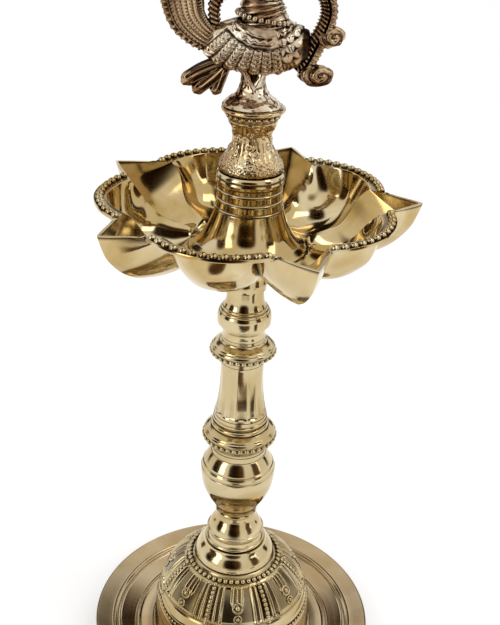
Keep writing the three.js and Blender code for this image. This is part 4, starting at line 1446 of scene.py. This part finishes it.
def bud_relief(centre_share, turns):
    """A rolled bud: a spiral groove that winds in towards the middle of each side."""
    def relief(way, across, side, share):
        u = (share - centre_share) * 2.6
        distance = math.hypot(u, across)
        turn = math.atan2(across, u) / (2 * math.pi)
        spiral = math.sin(2 * math.pi * (distance * turns - turn))
        return 0.6 * spiral * step_up(abs(side), 0.2, 0.3) + 0.25
    return relief


upper_bud_stations = [
    (30.4, 32.8, 3.3, 3.3), (33.5, 34, 4.4, 4.0), (38, 35.2, 4.6, 3.8), (41.6, 35.2, 3.1, 2.7),
    (43.1, 34.8, 0.6, 0.6),
]
upper_roll = bud_relief(0.6, 1.25)
# The upper bud's spiral groove is darkened with painted shade.
upper_bud = lofted("scroll_bud_upper_finish", upper_bud_stations, sides=96, step=0.3, relief=upper_roll)
fitted(upper_bud, "finial", "antique_brass", smoked, "scroll_bud_upper")

lower_bud_stations = [
    (22.4, 18.4, 3.2, 3.4), (25.6, 16.8, 4.4, 4.0), (30.6, 15.8, 5.2, 4.4), (34.8, 16.4, 4.4, 3.8),
    (37.4, 17.4, 2.5, 2.3), (38.6, 18, 0.6, 0.6),
]
lower_roll = bud_relief(0.62, 1.35)
# The lower bud's spiral groove is darkened with painted shade.
lower_bud = lofted("scroll_bud_lower_finish", lower_bud_stations, sides=96, step=0.3, relief=lower_roll)
fitted(lower_bud, "finial", "antique_brass", smoked, "scroll_bud_lower")

# Fasteners.
# A steel tie rod runs through all the sections. A washer and a nut under the base pull them together,
# and a lock nut inside the bell stops the rod from turning in the pedestal.

ZINC_PALE = (0.62, 0.63, 0.64)
ZINC_GREY = (0.50, 0.51, 0.52)
steel = brass("zinc_plated_steel", ZINC_PALE, ZINC_GREY, 0.3)
for node in ("tie_rod", "base_washer", "base_nut", "lock_nut"):
    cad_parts[node].data.materials.clear()
    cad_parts[node].data.materials.append(steel)

# Studio.
# A white floor under a white sky, two tall soft lamps and one overhead. Dark brown cloths hang round the
# lamp and above it, and three lie on the floor. Only reflections see them, and they grow thin towards
# their edges, so the polished metal has the dark streaks that a dark room gives it.

FLOOR_SIZE = 14
FLOOR_GLOW = 0.26
FLOOR_GREY = 0.72


def glow(material, colour, strength, diffuse):
    """A pale ground that is bright to the eye and to reflections, and still takes a shadow."""
    material.use_nodes = True
    nodes = material.node_tree.nodes
    links = material.node_tree.links
    nodes.clear()
    path = nodes.new("ShaderNodeLightPath")
    seen = nodes.new("ShaderNodeMath")
    seen.operation = "MAXIMUM"
    links.new(path.outputs["Is Camera Ray"], seen.inputs[0])
    links.new(path.outputs["Is Glossy Ray"], seen.inputs[1])
    through = nodes.new("ShaderNodeMath")
    through.operation = "MAXIMUM"
    links.new(seen.outputs["Value"], through.inputs[0])
    links.new(path.outputs["Is Transmission Ray"], through.inputs[1])
    power = nodes.new("ShaderNodeMath")
    power.operation = "MULTIPLY"
    power.inputs[1].default_value = strength
    links.new(through.outputs["Value"], power.inputs[0])
    light = nodes.new("ShaderNodeEmission")
    light.inputs["Color"].default_value = (*colour, 1)
    links.new(power.outputs["Value"], light.inputs["Strength"])
    matt = nodes.new("ShaderNodeBsdfDiffuse")
    matt.inputs["Color"].default_value = (*diffuse, 1)
    both = nodes.new("ShaderNodeAddShader")
    links.new(light.outputs["Emission"], both.inputs[0])
    links.new(matt.outputs["BSDF"], both.inputs[1])
    output = nodes.new("ShaderNodeOutputMaterial")
    links.new(both.outputs["Shader"], output.inputs["Surface"])


start_piece()
bpy.ops.mesh.primitive_plane_add(size=FLOOR_SIZE, location=(0, 0, 0))
floor = bpy.context.object
floor.name = "floor"
floor_paper = bpy.data.materials.new("floor_paper")
glow(floor_paper, (1, 1, 1), FLOOR_GLOW, (FLOOR_GREY, FLOOR_GREY, FLOOR_GREY))
floor.data.materials.append(floor_paper)

FOLD_SCALE = 1.3
DARKEST_BROWN = (0.012, 0.006, 0.002)
LIGHTEST_BROWN = (0.17, 0.075, 0.018)
EDGE_FROM = 0.002
EDGE_TO = 0.035
curtain = bpy.data.materials.new("curtain")
curtain.use_nodes = True
curtain_nodes = curtain.node_tree.nodes
curtain_links = curtain.node_tree.links
curtain_nodes.clear()
curtain_place = curtain_nodes.new("ShaderNodeTexCoord")
folds = curtain_nodes.new("ShaderNodeTexNoise")
folds.inputs["Scale"].default_value = FOLD_SCALE
folds.inputs["Detail"].default_value = 2.0
curtain_links.new(curtain_place.outputs["Object"], folds.inputs["Vector"])
brown = curtain_nodes.new("ShaderNodeValToRGB")
brown.color_ramp.elements[0].position = 0.46
brown.color_ramp.elements[0].color = (*DARKEST_BROWN, 1)
brown.color_ramp.elements[1].position = 0.76
brown.color_ramp.elements[1].color = (*LIGHTEST_BROWN, 1)
curtain_links.new(folds.outputs["Fac"], brown.inputs["Fac"])
curtain_light = curtain_nodes.new("ShaderNodeEmission")
curtain_links.new(brown.outputs["Color"], curtain_light.inputs["Color"])
# A curtain grows thin towards its edges: its cover follows u(1 - u) times v(1 - v), and is full a little
# way in.
corner_parts = curtain_nodes.new("ShaderNodeSeparateXYZ")
curtain_links.new(curtain_place.outputs["UV"], corner_parts.inputs["Vector"])
cover = None
for axis in ("X", "Y"):
    rest = curtain_nodes.new("ShaderNodeMath")
    rest.operation = "SUBTRACT"
    rest.inputs[0].default_value = 1.0
    curtain_links.new(corner_parts.outputs[axis], rest.inputs[1])
    hump = curtain_nodes.new("ShaderNodeMath")
    hump.operation = "MULTIPLY"
    curtain_links.new(corner_parts.outputs[axis], hump.inputs[0])
    curtain_links.new(rest.outputs["Value"], hump.inputs[1])
    if cover:
        both_ways = curtain_nodes.new("ShaderNodeMath")
        both_ways.operation = "MULTIPLY"
        curtain_links.new(cover.outputs["Value"], both_ways.inputs[0])
        curtain_links.new(hump.outputs["Value"], both_ways.inputs[1])
        hump = both_ways
    cover = hump
thin = curtain_nodes.new("ShaderNodeMapRange")
thin.interpolation_type = "SMOOTHSTEP"
thin.inputs["From Min"].default_value = EDGE_FROM
thin.inputs["From Max"].default_value = EDGE_TO
curtain_links.new(cover.outputs["Value"], thin.inputs["Value"])
open_air = curtain_nodes.new("ShaderNodeBsdfTransparent")
curtain_mix = curtain_nodes.new("ShaderNodeMixShader")
curtain_links.new(thin.outputs["Result"], curtain_mix.inputs["Fac"])
curtain_links.new(open_air.outputs["BSDF"], curtain_mix.inputs[1])
curtain_links.new(curtain_light.outputs["Emission"], curtain_mix.inputs[2])
curtain_output = curtain_nodes.new("ShaderNodeOutputMaterial")
curtain_links.new(curtain_mix.outputs["Shader"], curtain_output.inputs["Surface"])


def hung(name, places):
    """A flat curtain with its four corners at the places. Only reflections see it."""
    start_piece()
    bpy.ops.mesh.primitive_plane_add(size=1)
    cloth = bpy.context.object
    cloth.name = name
    for vertex, place in zip(cloth.data.vertices, places):
        vertex.co = place
    cloth.data.materials.append(curtain)
    cloth.visible_camera = False
    cloth.visible_diffuse = False
    cloth.visible_shadow = False


# Each curtain is the direction in degrees, the distance, the width, and the lower and upper edge.
CURTAINS = [
    (-97, 0.95, 1.1, -0.1, 1.25), (-30, 1.2, 0.6, -0.1, 1.35), (-168, 1.2, 0.66, -0.1, 1.4),
    (20, 1.3, 0.30, 0.0, 0.7), (150, 1.3, 0.36, 0.0, 0.7), (62, 1.4, 0.6, 0.02, 0.40),
    (118, 1.5, 0.5, 0.02, 0.40), (90, 1.6, 0.4, 0.02, 0.25),
]
for i, (degrees, distance, width, low, high) in enumerate(CURTAINS):
    middle = polar(distance, degrees, 0)
    half_width = polar(width / 2, degrees + 90, 0)
    sides = (middle - half_width, middle + half_width)
    hung(f"curtain_{i + 1}", [side + Vector((0, 0, edge)) for edge in (low, high) for side in sides])
hung("ceiling_cloth", [(-0.5, -0.6, 1.5), (0.35, -0.6, 1.5), (-0.5, 0.9, 1.5), (0.35, 0.9, 1.5)])
hung("back_cloth_left", [(-1.5, 0.8, 1.2), (0.02, 0.8, 1.2), (-1.9, 2.25, 1.2), (-0.14, 2.25, 1.2)])
hung("back_cloth_right", [(-0.02, 0.8, 1.2), (1.5, 0.8, 1.2), (0.14, 2.25, 1.2), (1.9, 2.25, 1.2)])
# Each cloth on the floor is the direction, half the angle it covers, and the near and far edge.
FLOOR_CLOTHS = [(-98, 15, 0.24, 0.38), (-92, 26, 0.38, 0.70), (-44, 9, 0.3, 0.8)]
OFF_FLOOR = 0.003
for i, (degrees, half_angle, near, far) in enumerate(FLOOR_CLOTHS):
    hung(f"floor_cloth_{i + 1}", [
        polar(edge, degrees + side, OFF_FLOOR) for edge in (near, far) for side in (-half_angle, half_angle)
    ])

world = bpy.data.worlds.new("white_sky")
bpy.context.scene.world = world
world.use_nodes = True
world.node_tree.nodes["Background"].inputs["Color"].default_value = (1, 1, 1, 1)
world.node_tree.nodes["Background"].inputs["Strength"].default_value = 1.0


LIT_POINT = Vector((0, 0, 0.25))


def soft_lamp(name, place, size, energy):
    """A rectangular lamp that faces the middle of the oil lamp."""
    light = bpy.data.lights.new(name, "AREA")
    light.shape = "RECTANGLE"
    light.size = size[0]
    light.size_y = size[1]
    light.energy = energy
    lamp = bpy.data.objects.new(name, light)
    bpy.context.scene.collection.objects.link(lamp)
    aim = LIT_POINT - Vector(place)
    lamp.matrix_world = Matrix.Translation(place) @ aim.to_track_quat("-Z", "Y").to_matrix().to_4x4()


soft_lamp("left_lamp", (-1.1, -0.75, 0.75), (0.4, 1.0), 3)
soft_lamp("right_lamp", (1.15, -0.5, 0.85), (0.35, 1.0), 3)
soft_lamp("top_lamp", (0.5, 0.2, 1.6), (0.4, 0.8), 2.5)

CAMERA_PLACE = (-0.02510, -0.49821, 0.49652)
CAMERA_YAW = 0.05634
CAMERA_PITCH = 0.48170
CAMERA_ROLL = 0.0464
CAMERA_LENS = 58.40
CAMERA_SENSOR = 36
CAMERA_RANGE = 60
camera_data = bpy.data.cameras.new("camera")
camera_data.lens = CAMERA_LENS
camera_data.sensor_width = CAMERA_SENSOR
camera_data.clip_end = CAMERA_RANGE
camera = bpy.data.objects.new("camera", camera_data)
bpy.context.scene.collection.objects.link(camera)
forward = Vector((
    math.sin(CAMERA_YAW) * math.cos(CAMERA_PITCH),
    math.cos(CAMERA_YAW) * math.cos(CAMERA_PITCH),
    -math.sin(CAMERA_PITCH),
))
level = Vector((math.cos(CAMERA_YAW), -math.sin(CAMERA_YAW), 0))
above = level.cross(forward)
right = level * math.cos(CAMERA_ROLL) + above * math.sin(CAMERA_ROLL)
up = above * math.cos(CAMERA_ROLL) - level * math.sin(CAMERA_ROLL)
camera.matrix_world = Matrix((
    (right.x, up.x, -forward.x, CAMERA_PLACE[0]),
    (right.y, up.y, -forward.y, CAMERA_PLACE[1]),
    (right.z, up.z, -forward.z, CAMERA_PLACE[2]),
    (0, 0, 0, 1),
))
bpy.context.scene.camera = camera
bpy.context.scene.view_settings.view_transform = "Standard"

start_piece()
